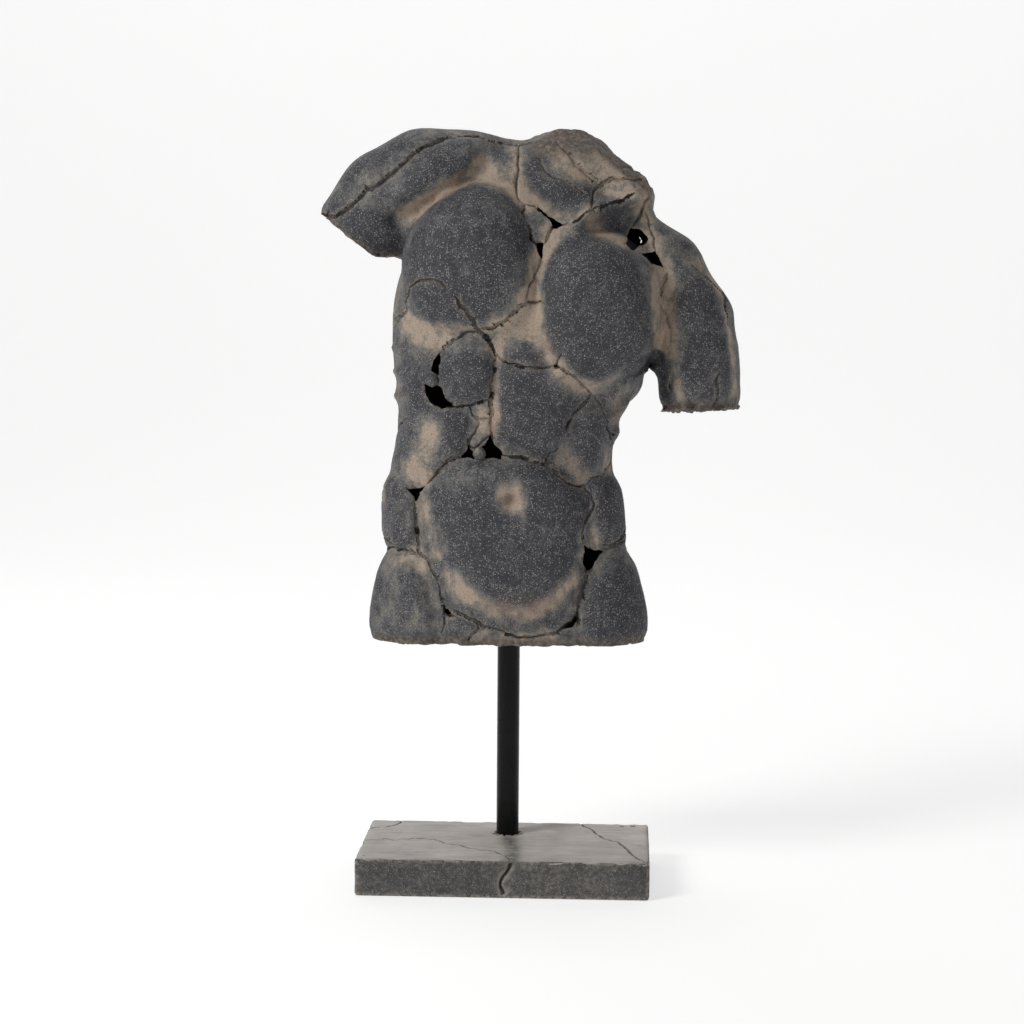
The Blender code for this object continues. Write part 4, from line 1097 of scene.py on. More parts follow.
def laid_out(mesh):
    """The cracks and the gaps' rims as lines on the settled mesh, and each gap's outline for its cutter."""
    bm = bmesh.new()
    bm.from_mesh(mesh)
    tree = BVHTree.FromBMesh(bm)
    bm.free()
    lines = all_cracks(tree)
    rims = Lines()
    dice = random.Random(11)
    rings = {}
    for gap in GAPS + BACK_GAPS:
        rings[gap.name] = gap_rings(tree, gap, dice)
        ring = [(place, 0.5) for place, _ in rings[gap.name]]
        rims.add(ring + ring[:1], no_value)
    rims.plant()
    return tree, lines, rims, rings


def refine_torso(mesh, lines, rims):
    """Shorter edges at the breaks and along the cracks and rims."""
    breaks = [(np.array(cut.at), facing_of(cut), limb) for limb in BROKEN_LIMBS for cut in limb.cuts]

    def wanted_rough(place):
        if 0.05 < place.z < 1.5:
            return ROUGH_EDGE
        point = np.array([place])
        for at, facing, limb in breaks:
            away = point[0] - at
            if abs(away @ facing) < 0.7 and away @ away < 190 and limb_distance(point, limb)[0] < 0.8:
                return ROUGH_EDGE
        return ANY_EDGE

    def wanted(place):
        near = lines.nearest(place, 1.2)
        far = near[0] if near else math.inf
        near = rims.nearest(place, 1.0)
        far = min(far, near[0] + 0.1 if near else math.inf)
        if far < 0.22 and place.y < 6:
            return CRACK_EDGE
        if far < 0.36:
            return LIP_EDGE
        return BESIDE_EDGE if far < 0.75 else ANY_EDGE

    bm = bmesh.new()
    bm.from_mesh(mesh)
    bmesh.ops.triangulate(bm, faces=[f for f in bm.faces if len(f.verts) > 3])
    refine(bm, wanted_rough, outer_distance)
    for _ in range(3):
        refine(bm, wanted, outer_distance)
    bm.to_mesh(mesh)
    bm.free()


def tone_attributes(mesh, tree, lines, rims):
    """Stores how dusty, cracked, broken and earthy the stone is at each point, with painted shade in its dust
    where the dark washes lie and on its inside faces.
    """
    points = points_of(mesh)
    normals = normals_at(body_distance, points)
    depth = -outer_distance(points)
    cover = plate_cover(points)
    dust = 0.37 - 0.25 * smooth_step(0.0, 0.7, cover)
    # The dark washes under the shoulder and the arm, in the shoulder's groove and low on the right breast
    # lower the dust as painted shade.
    dust = wash_sum(points, wash_lines(tree, WASHES), dust)
    earth = wash_sum(points, wash_lines(tree, EARTH), np.zeros(len(points)))
    broken = broken_weight(points, normals)
    crack = np.zeros(len(points))
    lip = np.zeros(len(points))
    for i, point in enumerate(points):
        place = Vector(point)
        near = lines.nearest(place, CRACK_REACH)
        if near:
            far, (width, _) = near
            crack[i] = 1 - smooth(0.95, 1.6, far / max(width, 0.02))
            lip[i] = (1 - smooth(1.6, 3.3, far / max(width, 0.02))) * (1 - crack[i])
        near = rims.nearest(place, 1.0)
        if near:
            lip[i] = max(lip[i], 1 - smooth(0.1, 0.7, near[0]))
    # Painted shade: the faces inside the shell, well below the outer surface and off the cracks, are marked
    # here to be laid over nearly black.
    wall = smooth_step(0.5, 1.5, depth) * (crack < 0.05)
    store(mesh, {
        "dust": np.clip(dust, -0.15, 1),
        "earth": np.clip(earth, 0, 1),
        "broken": broken,
        "crack": crack,
        "lip": lip,
        "inside": wall,
    })


def store(mesh, values):
    """Stores one number for each point of the mesh, under each name."""
    for name, value in values.items():
        layer = mesh.attributes.new(name, "FLOAT", "POINT")
        layer.data.foreach_set("value", value.astype(np.float32))


def add_pebbles(mesh, tree, dice):
    """Rounded bits of stone wedged where two gaps meet."""
    bm = bmesh.new()
    bm.from_mesh(mesh)
    for px, py, radius in PEBBLES:
        place, normal = on_surface(tree, CAMERA_IN_SHARES, pixel_ray(px, py))
        made = bmesh.ops.create_icosphere(bm, subdivisions=4, radius=radius)["verts"]
        shift = Vector((dice.uniform(0, 50), dice.uniform(0, 50), 0))
        for vert in made:
            vert.co *= 1 + 0.13 * fractal(vert.co + shift, 1.1, 4)
        bmesh.ops.translate(bm, verts=made, vec=place + normal * radius * 0.05)
    bm.to_mesh(mesh)
    bm.free()


def apply_boolean(target, tool, operation="DIFFERENCE"):
    boolean = target.modifiers.new("Boolean", "BOOLEAN")
    boolean.operation = operation
    boolean.solver = "MANIFOLD"
    boolean.object = tool
    result = evaluated_mesh(target)
    target.modifiers.clear()
    target.data = result
    bpy.data.objects.remove(tool)


def cylinder(name, place, radius, bottom, top, sides, collection):
    bm = bmesh.new()
    at = Matrix.Translation((place[0], place[1], (bottom + top) / 2))
    bmesh.ops.create_cone(
        bm, cap_ends=True, segments=sides, radius1=radius, radius2=radius, depth=top - bottom, matrix=at
    )
    return new_object(name, bm, collection)


def make_torso(collection, finish):
    mesh = block_out("torso", 0, OUTER_VOXEL)
    settle(mesh, outer_distance)
    tree, lines, rims, rings = laid_out(mesh)
    torso = bpy.data.objects.new("stone_torso", mesh)
    collection.objects.link(torso)
    core = block_out("core", TORSO_WALL / SHARE / CORE_SHRINK, CORE_VOXEL)
    settle(core, core_distance)
    hollow = bpy.data.objects.new("hollow", core)
    collection.objects.link(hollow)
    dice = random.Random(5)
    apply_boolean(torso, hollow)
    for gap in GAPS + BACK_GAPS:
        apply_boolean(torso, gap_cutter(gap.name, rings[gap.name], gap.reach, dice, collection))
    apply_boolean(torso, daylight_cutter(tree, dice, collection))
    seat_top = (ROD_HIGH.z + FIT_GAP - TORSO_PLACE.z) / SHARE
    seat_radius = (ROD_RADIUS + FIT_GAP) / SHARE
    apply_boolean(torso, cylinder("seat", (0, 0), seat_radius, -4, seat_top, SEAT_SIDES, collection))
    refine_torso(torso.data, lines, rims)
    points = points_of(torso.data)
    normals = normals_at(outer_distance, points)
    set_points(torso.data, carve(points, normals, lines, rims))
    add_pebbles(torso.data, tree, dice)
    tone_attributes(torso.data, tree, lines, rims)
    torso.data.transform(Matrix.Translation(TORSO_PLACE) @ Matrix.Scale(SHARE, 4))
    keep_within(torso.data, TORSO_LOW, TORSO_HIGH)
    dress(torso, finish, 48)
    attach(torso, "root")
    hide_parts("torso")


def daylight_cutter(tree, dice, collection):
    """A plug through the shell behind the gap in the shoulder, along the camera's rays."""
    origin = CAMERA_IN_SHARES
    middle = on_surface(tree, origin, pixel_ray(*DAYLIGHT[0]))[0]
    rings = []
    for p, _ in even_steps(jagged(list(DAYLIGHT) + [DAYLIGHT[0]], dice, 2, 0.1, 1), 1.2)[:-1]:
        ray = pixel_ray(*p)
        rings.append((origin + ray * ((middle - origin).length + 6), ray))
    return gap_cutter("daylight", rings, 30, dice, collection)


def keep_within(mesh, low, high):
    points = points_of(mesh)
    set_points(mesh, np.clip(points, np.array(low), np.array(high)))


def dress(obj, finish, smooth_angle):
    obj.data.materials.clear()
    obj.data.materials.append(finish)
    obj.data.shade_smooth()
    obj.data.set_sharp_from_angle(angle=math.radians(smooth_angle))


# Slab: sizes in metres. Its edges are finer meshed, and so are its cracks.
SLAB_EDGE_RADIUS = 0.0030
SLAB_COARSE = 0.0042
SLAB_FINE = 0.0012
SLAB_BAND = 0.008
# Pits in the slab: a pixel and a radius in metres.
SLAB_PITS = (
    (622, 826, 0.0024),
    (633, 826, 0.0027),
    (556, 838, 0.0010),
    (455, 826, 0.0011),
    (640, 845, 0.0013),
    (364, 855, 0.0014),
)
FRONT_LIP_CHIP = ((471, 866), (486, 866), (503, 864))
STAIN = ((509, 838), (513, 848), (511, 861))
STAIN_WIDTH = 0.0075


def graded(low, high):
    """Places from low to high, close together near both ends."""
    ends = int(round(SLAB_BAND / SLAB_FINE))
    near = [low + SLAB_BAND * i / ends for i in range(ends)]
    count = max(1, round((high - low - 2 * SLAB_BAND) / SLAB_COARSE))
    middle = [low + SLAB_BAND + (high - low - 2 * SLAB_BAND) * i / count for i in range(count + 1)]
    return near + middle + [high - SLAB_BAND + SLAB_BAND * (i + 1) / ends for i in range(ends)]


def slab_block():
    """A closed box made of a grid on each side."""
    axes = [graded(PLINTH_LOW[a], PLINTH_HIGH[a]) for a in range(3)]
    bm = bmesh.new()
    made = {}

    def vert(key):
        if key not in made:
            made[key] = bm.verts.new([axes[a][key[a]] for a in range(3)])
        return made[key]

    for axis in range(3):
        u, v = (axis + 1) % 3, (axis + 2) % 3
        for end in (0, len(axes[axis]) - 1):
            for i in range(len(axes[u]) - 1):
                for j in range(len(axes[v]) - 1):
                    keys = []
                    for a, b in ((i, j), (i + 1, j), (i + 1, j + 1), (i, j + 1)):
                        key = [0, 0, 0]
                        key[axis], key[u], key[v] = end, a, b
                        keys.append(tuple(key))
                    corners = [vert(key) for key in keys]
                    bm.faces.new(corners if end else corners[::-1])
    bmesh.ops.triangulate(bm, faces=bm.faces)
    return bm


def slab_rounded(point):
    """The place on the rounded box nearest to one on the plain box, and the way out there."""
    inner = Vector([max(PLINTH_LOW[a] + SLAB_EDGE_RADIUS, min(PLINTH_HIGH[a] - SLAB_EDGE_RADIUS, point[a]))
        for a in range(3)])
    out = point - inner
    return inner + out.normalized() * SLAB_EDGE_RADIUS, out.normalized()


def edge_distance(point):
    """How far a place on the slab is from its nearest edge."""
    sides = sorted(min(point[a] - PLINTH_LOW[a], PLINTH_HIGH[a] - point[a]) for a in range(3))
    return sides[1]


def from_rod(place):
    """How far a place on the slab is from the rod's side."""
    return math.hypot(place.x - ROD_X, place.y - ROD_Y) - ROD_RADIUS


def slab_places(tree, line, dice):
    bent = even_steps(jagged(line, dice, 4, 0.07, 3), 0.8)
    return [(on_surface(tree, CAMERA_PLACE, pixel_ray(*p))[0], along) for p, along in bent]


def slab_drop(point, out, lines, chip_lines, pits):
    """How far the slab's surface is worn, chipped or cracked in at a place."""
    drop = 0.00010 * (1 + fractal(point, 60, 3))
    top = out.z > 0.7
    side = abs(out.z) < 0.7
    if side:
        drop += 0.00022 * (1 + fractal(point, 190, 4)) + 0.0005 * max(0, fractal(point, 75, 3) - 0.25)
    near_edge = max(0, 1 - edge_distance(point) / 0.007)
    if point.z > PLINTH_LOW.z + 0.006:
        chips = max(0, fractal(point + Vector((3, 0, 0)), 62, 4) - 0.05)
        drop += near_edge ** 2 * (0.0003 + 0.0042 * chips)
    seat = from_rod(point)
    if top and seat < 0.006:
        ragged = 0.5 + 0.5 * fractal(point, 420, 3)
        drop += 0.0016 * smooth(0.0050, 0.0, seat) * ragged
    near = lines.nearest(point, 0.008)
    if near:
        far, (width, depth) = near
        chip = max(0, noise.noise(point * 130) - 0.05)
        lip = 0.0014 + 0.005 * chip
        if far < lip + width:
            drop += (0.0003 + 0.0012 * chip) * (1 - max(0, far - width) / lip) ** 1.3
        drop += depth * (1 - smooth(0.35, 1.15, far / width))
    near = chip_lines.nearest(point, 0.006)
    if near and side:
        drop += 0.0016 * (1 - smooth(0.0012, 0.0036, near[0])) * (0.8 + 0.3 * fractal(point, 300, 2))
    for place, radius in pits:
        drop += radius * 0.9 * (1 - smooth(0.3, 1.1, (point - place).length / radius))
    return drop


def slab_crack_value(crack):
    """A slab crack's half width and depth at a place on it, uneven along its length."""
    def value(place, along):
        uneven = 1 + 0.5 * noise.noise(place * 120)
        return crack.width * uneven * taper(along, 0.4), crack.depth * taper(along)
    return value


def even_crack_value(crack):
    """The same for a crack that only narrows towards its ends."""
    def value(place, along):
        return crack.width * taper(along), crack.depth * taper(along)
    return value


def make_slab(collection, finish):
    bm = slab_block()
    tree = BVHTree.FromBMesh(bm)
    dice = random.Random(21)
    lines = Lines()
    for crack in SLAB_CRACKS:
        lines.add(slab_places(tree, crack.line, dice), slab_crack_value(crack))
    for crack in SLAB_BACK_CRACKS:
        places = []
        for p, along in even_steps(jagged([Vector(q) for q in crack.line], dice, 0.01, 0.1, 3), 0.0007):
            places.append((on_surface(tree, Vector((p.x, 0.5, p.y)), TO_FRONT)[0], along))
        lines.add(places, even_crack_value(crack))
    lines.plant()
    chip_lines = plain_lines(slab_places(tree, FRONT_LIP_CHIP, dice))
    stain = plain_lines(slab_places(tree, STAIN, dice))
    pits = [(on_surface(tree, CAMERA_PLACE, pixel_ray(px, py))[0], radius) for px, py, radius in SLAB_PITS]

    def wanted(place):
        near = lines.nearest(place, 0.006)
        far = near[0] if near else 1
        seat = from_rod(place)
        if place.z > PLINTH_HIGH.z - 0.001 and -0.002 < seat < 0.007:
            far = min(far, 0.003)
        for pit, radius in pits:
            far = min(far, max(0, (place - pit).length - radius))
        if far < 0.0018:
            return 0.0009
        return 0.0017 if far < 0.005 else 1

    for _ in range(3):
        refine(bm, wanted)
    for vert in bm.verts:
        place, out = slab_rounded(vert.co)
        if place.z > PLINTH_LOW.z + 0.0004:
            place -= out * slab_drop(place, out, lines, chip_lines, pits)
        vert.co = place
    slab = new_object("stone_slab", bm, collection)
    crumbs = [mortar_crumb(i, dice, collection) for i in range(CRUMBS)]
    for crumb in crumbs:
        apply_boolean(slab, crumb, "UNION")
    bottom, top = ROD_LOW.z - FIT_GAP, PLINTH_HIGH.z + 0.02
    seat = cylinder("seat", (ROD_X, ROD_Y), ROD_RADIUS + FIT_GAP, bottom, top, SEAT_SIDES, collection)
    apply_boolean(slab, seat)
    slab_attributes(slab.data, lines, stain, pits)
    dress(slab, finish, 45)
    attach(slab, "root")
    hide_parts("plinth")


def mortar_crumb(i, dice, collection):
    """A crumb of the bedding mortar beside the rod."""
    size = dice.uniform(0.0009, 0.0024)
    angle = math.tau * (i + dice.uniform(-0.4, 0.4)) / CRUMBS
    reach = ROD_RADIUS + FIT_GAP + size * dice.uniform(0.55, 1.1)
    bm = bmesh.new()
    bmesh.ops.create_icosphere(bm, subdivisions=3, radius=size)
    shift = Vector((i * 3.1, 0, 0))
    for vert in bm.verts:
        vert.co *= 1 + 0.32 * fractal(vert.co / size + shift, 0.9, 4)
        vert.co.z *= crumb_height(i)
    at = Vector((ROD_X + reach * math.cos(angle), ROD_Y + reach * math.sin(angle), PLINTH_HIGH.z - 0.0006))
    bmesh.ops.translate(bm, verts=bm.verts, vec=at)
    return new_object("crumb", bm, collection)


def crumb_height(i):
    """How tall a crumb is for its width."""
    return 0.45 + 0.35 * ((i * 7) % 5) / 4


def slab_attributes(mesh, lines, stain_lines, pits):
    points = points_of(mesh)
    crack, lip, edge, mortar, stain = (np.zeros(len(points)) for _ in range(5))
    for i, point in enumerate(points):
        place = Vector(point)
        near = lines.nearest(place, 0.006)
        if near:
            far, (width, _) = near
            crack[i] = 1 - smooth(0.5, 1.3, far / width)
            lip[i] = (1 - smooth(1.2, 3.5, far / width)) * (1 - crack[i])
        edge[i] = 1 - smooth(0.0008, 0.0045, edge_distance(place))
        near = stain_lines.nearest(place, 3 * STAIN_WIDTH)
        if near:
            stain[i] = math.exp(-(near[0] / STAIN_WIDTH) ** 2)
        for pit, radius in pits:
            stain[i] = max(stain[i], 1 - smooth(0.2, 1.3, (place - pit).length / radius))
        seat = from_rod(place)
        if place.z > PLINTH_HIGH.z - 0.003:
            mortar[i] = 1 - smooth(0.0016, 0.0034, seat)
    store(mesh, {"crack": crack, "lip": lip, "edge": edge, "mortar": mortar, "stain": stain})


# Backdrop: a floor in metres, which curves up into a wall.
FLOOR_FRONT = -4.0
FLOOR_HALF_WIDTH = 6
SWEEP_START = 2.2
SWEEP_RADIUS = 1.6
SWEEP_STEPS = 16
WALL_TOP = 5.0
BACKDROP_GLOW = 0.60
BACKDROP_TONES = ((0.3, (0.49, 0.49, 0.49)), (0.7, (0.51, 0.51, 0.51)))
ROOM_LIGHT = 0.24
MIDDLE = (0.0, 0.0, 0.42)
# Each light's place, aim, power, width and colour. The last lights the wall behind.
LIGHTS = (
    ("key", (-1.7, -1.4, 1.8), MIDDLE, 43, 1.0, (1.0, 0.99, 0.975)),
    ("fill", (1.6, -1.8, 0.8), MIDDLE, 3, 1.6, (0.97, 0.985, 1.0)),
    ("rim", (-0.6, 1.5, 1.9), MIDDLE, 5, 1.4, (1.0, 1.0, 1.0)),
    ("wall", (0.0, 0.9, 3.2), (0.0, 3.8, 0.9), 24, 1.5, (1.0, 1.0, 1.0)),
)


# The torso's colours: its tones from bare to dusty, whose dark end also gives the painted shade of the dark
# washes, then the tones of its breaks, and what lies over them, the painted shade of the inside faces among
# them.
TORSO_TONES = (
    (0.0, (0.026, 0.027, 0.034)),
    (0.25, (0.056, 0.057, 0.063)),
    (0.50, (0.110, 0.106, 0.101)),
    (0.76, (0.210, 0.178, 0.145)),
    (1.0, (0.350, 0.275, 0.212)),
)
BREAK_TONES = (
    (0.30, (0.020, 0.016, 0.014)),
    (0.48, (0.085, 0.066, 0.052)),
    (0.62, (0.185, 0.150, 0.120)),
    (0.80, (0.260, 0.225, 0.190)),
)
EARTH_COLOUR = (0.300, 0.185, 0.125)
PALE_GRAIN = (0.400, 0.385, 0.360)
DARK_GRAIN = (0.020, 0.020, 0.024)
LIP_COLOUR = (0.300, 0.255, 0.205)
# Painted shade for the faces inside the shell.
INSIDE_SHADE_COLOUR = (0.016, 0.014, 0.013)
CRACK_COLOUR = (0.006, 0.005, 0.005)

# The slab's colours: the tones of its top, pale with painted light, of its sides, dark with painted shade,
# and of its mortar, and what lies over them.
LIT_TOP_TONES = ((0.25, (0.330, 0.305, 0.285)), (0.5, (0.430, 0.400, 0.376)), (0.75, (0.530, 0.500, 0.472)))
SHADED_SIDE_TONES = ((0.32, (0.030, 0.029, 0.031)), (0.5, (0.070, 0.067, 0.065)), (0.66, (0.165, 0.148, 0.132)))
MORTAR_TONES = ((0.38, (0.030, 0.024, 0.020)), (0.52, (0.210, 0.165, 0.125)), (0.7, (0.360, 0.300, 0.235)))
SLAB_PALE_GRAIN = (0.430, 0.390, 0.340)
SLAB_DARK_GRAIN = (0.040, 0.037, 0.035)
SLAB_EDGE_COLOUR = (0.340, 0.305, 0.265)
SLAB_LIP_COLOUR = (0.400, 0.360, 0.310)
SLAB_STAIN_COLOUR = (0.085, 0.083, 0.076)
SLAB_CRACK_COLOUR = (0.008, 0.007, 0.006)

STEEL_COLOUR = (0.003, 0.003, 0.003)
STEEL_DUST = (0.024, 0.021, 0.018)


class Nodes:
    """A material's node tree, with short calls for the nodes that the stone needs."""

    def __init__(self, name):
        self.material = bpy.data.materials.new(name)
        self.material.use_nodes = True
        self.tree = self.material.node_tree
        self.shader = self.tree.nodes["Principled BSDF"]
        self.place = self.tree.nodes.new("ShaderNodeTexCoord").outputs["Object"]

    def socket(self, target, value):
        if isinstance(value, bpy.types.NodeSocket):
            self.tree.links.new(value, target)
        else:
            target.default_value = value

    def noise(self, scale, detail=3.0, roughness=0.6, at=None):
        node = self.tree.nodes.new("ShaderNodeTexNoise")
        self.socket(node.inputs["Vector"], at or self.place)
        node.inputs["Scale"].default_value = scale
        node.inputs["Detail"].default_value = detail
        node.inputs["Roughness"].default_value = roughness
        return node.outputs["Fac"]

    def grains(self, scale, size, share):
        """Separate round grains, in a share of the cells."""
        node = self.tree.nodes.new("ShaderNodeTexVoronoi")
        self.socket(node.inputs["Vector"], self.place)
        node.inputs["Scale"].default_value = scale
        dot = self.between(node.outputs["Distance"], size * 0.6, size, 1.0, 0.0)
        split = self.tree.nodes.new("ShaderNodeSeparateColor")
        self.socket(split.inputs[0], node.outputs["Color"])
        return self.math("MULTIPLY", dot, self.between(split.outputs[0], 1 - share, 1 - share * 0.5))

    def stretched(self, scale):
        node = self.tree.nodes.new("ShaderNodeMapping")
        self.socket(node.inputs["Vector"], self.place)
        node.inputs["Scale"].default_value = scale
        return node.outputs["Vector"]

    def math(self, operation, a, b=0.0, clamp=False):
        node = self.tree.nodes.new("ShaderNodeMath")
        node.operation = operation
        node.use_clamp = clamp
        self.socket(node.inputs[0], a)
        self.socket(node.inputs[1], b)
        return node.outputs[0]

    def between(self, value, low, high, to_low=0.0, to_high=1.0):
        node = self.tree.nodes.new("ShaderNodeMapRange")
        node.interpolation_type = "SMOOTHSTEP"
        self.socket(node.inputs["Value"], value)
        node.inputs["From Min"].default_value = low
        node.inputs["From Max"].default_value = high
        node.inputs["To Min"].default_value = to_low
        node.inputs["To Max"].default_value = to_high
        return node.outputs[0]

    def attribute(self, name, share=None):
        """A number stored on the mesh, or a share of it."""
        node = self.tree.nodes.new("ShaderNodeAttribute")
        node.attribute_name = name
        value = node.outputs["Fac"]
        return self.math("MULTIPLY", value, share) if share else value

    def ramp(self, value, stops):
        node = self.tree.nodes.new("ShaderNodeValToRGB")
        self.socket(node.inputs[0], value)
        ramp = node.color_ramp
        while len(ramp.elements) < len(stops):
            ramp.elements.new(0.5)
        for element, (at, colour) in zip(ramp.elements, stops):
            element.position = at
            element.color = (*colour, 1)
        return node.outputs[0]

    def mix(self, amount, a, b, blend="MIX"):
        node = self.tree.nodes.new("ShaderNodeMix")
        node.data_type = "RGBA"
        node.blend_type = blend
        self.socket(node.inputs[0], amount)
        for target, value in ((node.inputs[6], a), (node.inputs[7], b)):
            self.socket(target, (*value, 1) if isinstance(value, tuple) else value)
        return node.outputs[2]

    def bump(self, height, strength, distance, below=None):
        node = self.tree.nodes.new("ShaderNodeBump")
        node.inputs["Strength"].default_value = strength
        node.inputs["Distance"].default_value = distance
        self.socket(node.inputs["Height"], height)
        if below:
            self.socket(node.inputs["Normal"], below)
        return node.outputs[0]

    def finish(self, colour, roughness, normal=None, specular=0.35):
        self.socket(self.shader.inputs["Base Color"], colour)
        self.socket(self.shader.inputs["Roughness"], roughness)
        self.shader.inputs["Specular IOR Level"].default_value = specular
        if normal:
            self.socket(self.shader.inputs["Normal"], normal)
        return self.material


def torso_stone():
    """Charcoal cast stone with pale grains, beige dust in its hollows and dark cracks with pale lips, and
    painted shade where the dark washes lie and on its inside faces.
    """
    n = Nodes("dark_cast_stone")
    # The dust attribute also carries painted shade from the dark washes.
    dust = n.attribute("dust")
    cloud = n.noise(38, 5, 0.62)
    mottle = n.noise(150, 4, 0.65)
    dust = n.math("ADD", dust, n.between(cloud, 0.34, 0.66, -0.22, 0.26))
    dust = n.math("ADD", dust, n.between(mottle, 0.32, 0.68, -0.17, 0.17), clamp=True)
    streaks = n.noise(1.0, 4, 0.7, n.stretched((420, 420, 42)))
    dust = n.math("ADD", dust, n.between(streaks, 0.3, 0.7, -0.07, 0.07), clamp=True)
    colour = n.ramp(dust, TORSO_TONES)
    colour = n.mix(n.attribute("earth", 0.55), colour, EARTH_COLOUR)
    grain = n.noise(1050, 2, 0.75)
    grain_size = n.noise(110, 3, 0.65)
    pale = n.math("MULTIPLY", n.between(grain, 0.50, 0.68), n.between(grain_size, 0.36, 0.62, 0.22, 1.0))
    pale = n.math("MULTIPLY", pale, n.between(dust, 0.0, 1.0, 0.50, 0.40))
    grains = n.math("MULTIPLY", n.grains(700, 0.42, 0.36), n.between(dust, 0.0, 1.0, 0.70, 0.25))
    pale = n.math("MAXIMUM", pale, grains)
    colour = n.mix(pale, colour, PALE_GRAIN)
    dark = n.between(n.noise(1000, 2, 0.7, n.stretched((1, 1, 1.02))), 0.55, 0.68, 0.0, 0.75)
    colour = n.mix(dark, colour, DARK_GRAIN)
    colour = n.mix(n.attribute("lip", 0.26), colour, LIP_COLOUR)
    rough_colour = n.ramp(n.noise(260, 5, 0.7), BREAK_TONES)
    colour = n.mix(n.attribute("broken", 0.8), colour, rough_colour)
    # Painted shade: the faces inside the shell are laid over nearly black.
    colour = n.mix(n.attribute("inside", 0.92), colour, INSIDE_SHADE_COLOUR)
    colour = n.mix(n.between(n.attribute("crack"), 0.12, 0.55), colour, CRACK_COLOUR)
    roughness = n.between(grain, 0.4, 0.7, 0.74, 0.52)
    broad = n.bump(n.noise(120, 5, 0.6), 0.45, 0.0012)
    fine = n.bump(n.noise(900, 4, 0.7), 0.42, 0.0005, broad)
    return n.finish(colour, roughness, fine, 0.38)


def slab_stone():
    """Grey-beige cast stone, smooth on top and grainy on its sides, its top made pale with painted light and
    its sides dark with painted shade, with worn pale edges.
    """
    n = Nodes("grey_cast_stone")
    geometry = n.tree.nodes.new("ShaderNodeNewGeometry")
    split = n.tree.nodes.new("ShaderNodeSeparateXYZ")
    n.socket(split.inputs[0], geometry.outputs["Normal"])
    # Painted light and shade: faces that point up take the pale tones of a lit top, the others the dark tones
    # of shaded sides.
    up = n.between(split.outputs["Z"], 0.45, 0.85)
    cloud = n.noise(30, 5, 0.6)
    brushed = n.noise(1.0, 4, 0.7, n.stretched((30, 320, 320)))
    tone = n.math("ADD", cloud, n.between(brushed, 0.3, 0.7, -0.14, 0.14))
    top = n.ramp(tone, LIT_TOP_TONES)
    shaded_side_tone = n.math("ADD", n.math("MULTIPLY", cloud, 0.5), n.math("MULTIPLY", n.noise(240, 5, 0.7), 0.5))
    colour = n.mix(up, n.ramp(shaded_side_tone, SHADED_SIDE_TONES), top)
    grain = n.noise(1050, 2, 0.7)
    pale = n.math("MULTIPLY", n.between(grain, 0.58, 0.72), n.between(up, 0.0, 1.0, 0.62, 0.22))
    colour = n.mix(pale, colour, SLAB_PALE_GRAIN)
    dark = n.between(n.noise(880, 2, 0.7), 0.62, 0.76, 0.0, 0.45)
    colour = n.mix(dark, colour, SLAB_DARK_GRAIN)
    edge = n.math("MULTIPLY", n.attribute("edge"), n.between(n.noise(300, 4, 0.7), 0.40, 0.62, 0.0, 0.75))
    colour = n.mix(edge, colour, SLAB_EDGE_COLOUR)
    colour = n.mix(n.attribute("lip", 0.4), colour, SLAB_LIP_COLOUR)
    blotch = n.math("MULTIPLY", n.attribute("stain"), n.between(n.noise(170, 4, 0.7), 0.32, 0.62, 0.45, 0.95))
    colour = n.mix(blotch, colour, SLAB_STAIN_COLOUR)
    mortar = n.ramp(n.noise(600, 3, 0.7), MORTAR_TONES)
    colour = n.mix(n.attribute("mortar", 0.9), colour, mortar)
    colour = n.mix(n.between(n.attribute("crack"), 0.12, 0.60), colour, SLAB_CRACK_COLOUR)
    broad = n.bump(n.noise(150, 5, 0.6), 0.30, 0.0008)
    fine = n.bump(n.noise(1000, 4, 0.7), 0.35, 0.0004, broad)
    return n.finish(colour, n.between(grain, 0.4, 0.7, 0.78, 0.6), fine, 0.35)


def rod_steel():
    """Blackened steel with a satin surface, fine turning marks and a little dust."""
    n = Nodes("blackened_steel")
    marks = n.noise(1.0, 4, 0.65, n.stretched((60, 60, 1400)))
    dust = n.between(n.noise(700, 4, 0.7), 0.60, 0.74, 0.0, 0.22)
    colour = n.mix(dust, STEEL_COLOUR, STEEL_DUST)
    roughness = n.between(n.noise(90, 4, 0.6), 0.3, 0.7, 0.22, 0.34)
    return n.finish(colour, roughness, n.bump(marks, 0.12, 0.0002), 0.14)


def backdrop_finish():
    n = Nodes("backdrop")
    n.shader.inputs["Emission Color"].default_value = (1, 1, 1, 1)
    n.shader.inputs["Emission Strength"].default_value = BACKDROP_GLOW
    return n.finish(n.ramp(n.noise(0.6, 2, 0.5), BACKDROP_TONES), 0.9, None, 0.0)


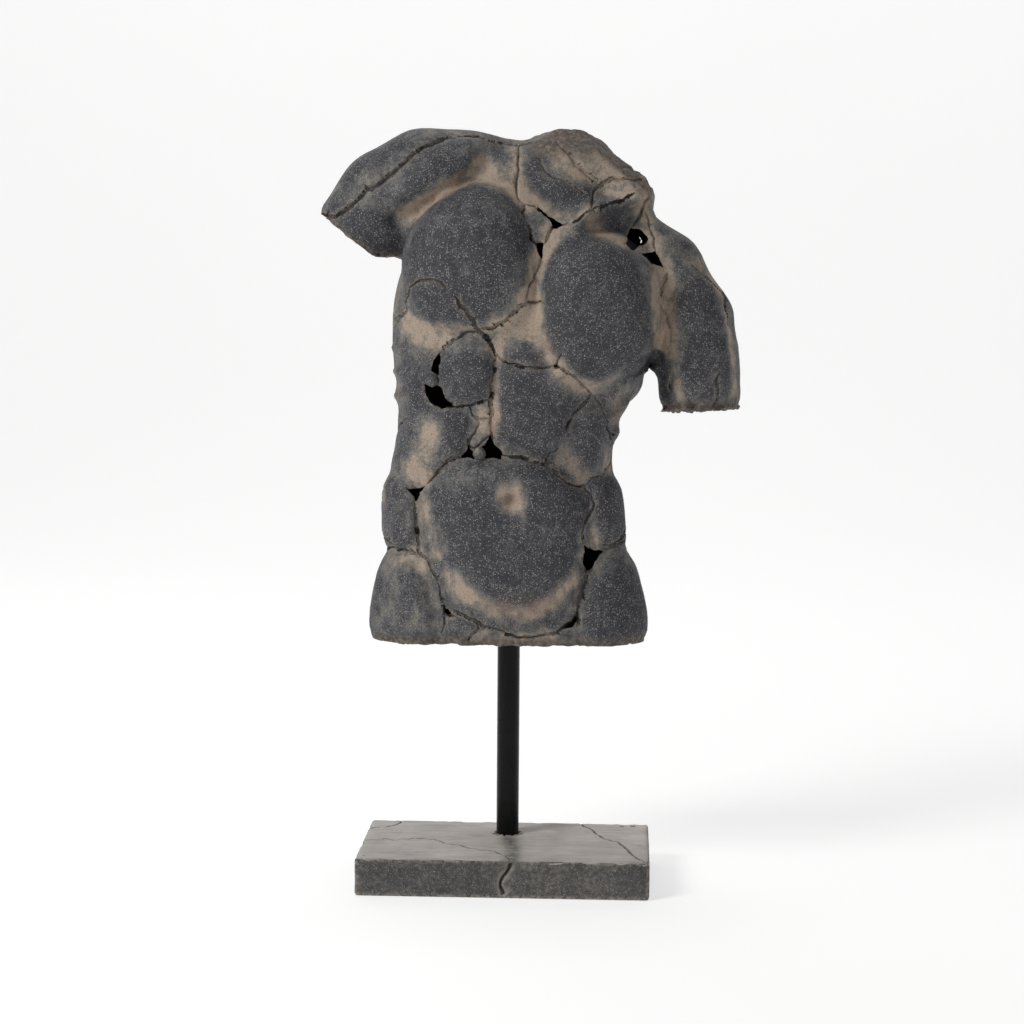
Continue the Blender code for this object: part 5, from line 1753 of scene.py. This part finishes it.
def area_light(name, place, aim, power, size, colour):
    data = bpy.data.lights.new(name, "AREA")
    data.shape = "DISK"
    data.size = size
    data.energy = power
    data.color = colour
    light = bpy.data.objects.new(name, data)
    light.location = place
    light.rotation_euler = (Vector(aim) - Vector(place)).to_track_quat("-Z", "Y").to_euler()
    bpy.context.scene.collection.objects.link(light)


def backdrop():
    """A pale floor that curves up into a wall behind."""
    bm = bmesh.new()
    run = [(FLOOR_FRONT, 0.0), (SWEEP_START, 0.0)]
    for step in range(1, SWEEP_STEPS + 1):
        angle = math.pi / 2 * step / SWEEP_STEPS
        run.append((SWEEP_START + SWEEP_RADIUS * math.sin(angle), SWEEP_RADIUS * (1 - math.cos(angle))))
    run.append((SWEEP_START + SWEEP_RADIUS, WALL_TOP))
    sides = (-FLOOR_HALF_WIDTH, FLOOR_HALF_WIDTH)
    rows = [[bm.verts.new((x, y, PLINTH_LOW.z + z)) for x in sides] for y, z in run]
    for low, high in zip(rows, rows[1:]):
        bm.faces.new((low[0], low[1], high[1], high[0]))
    floor = new_object("floor", bm, bpy.context.scene.collection)
    floor.data.shade_smooth()
    floor.data.materials.append(backdrop_finish())


def set_stage():
    backdrop()
    for light in LIGHTS:
        area_light(*light)
    world = bpy.data.worlds.new("soft_room")
    world.use_nodes = True
    sky = world.node_tree.nodes["Background"]
    sky.inputs["Color"].default_value = (1.0, 1.0, 1.0, 1)
    sky.inputs["Strength"].default_value = ROOM_LIGHT
    bpy.context.scene.world = world
    bpy.context.scene.view_settings.view_transform = "Standard"


def set_camera():
    data = bpy.data.cameras.new("camera")
    data.sensor_width = SENSOR_WIDTH
    data.lens = PHOTO_FOCAL / PHOTO_SIZE * SENSOR_WIDTH
    camera = bpy.data.objects.new("camera", data)
    turn = Matrix((RIGHT, UP, -FORWARD)).transposed()
    camera.matrix_world = Matrix.Translation(CAMERA_PLACE) @ turn.to_4x4()
    bpy.context.scene.collection.objects.link(camera)
    bpy.context.scene.camera = camera


make_torso(bpy.context.scene.collection, torso_stone())
make_slab(bpy.context.scene.collection, slab_stone())
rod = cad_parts["rod"]
rod.data.materials.clear()
rod.data.materials.append(rod_steel())
set_stage()
set_camera()
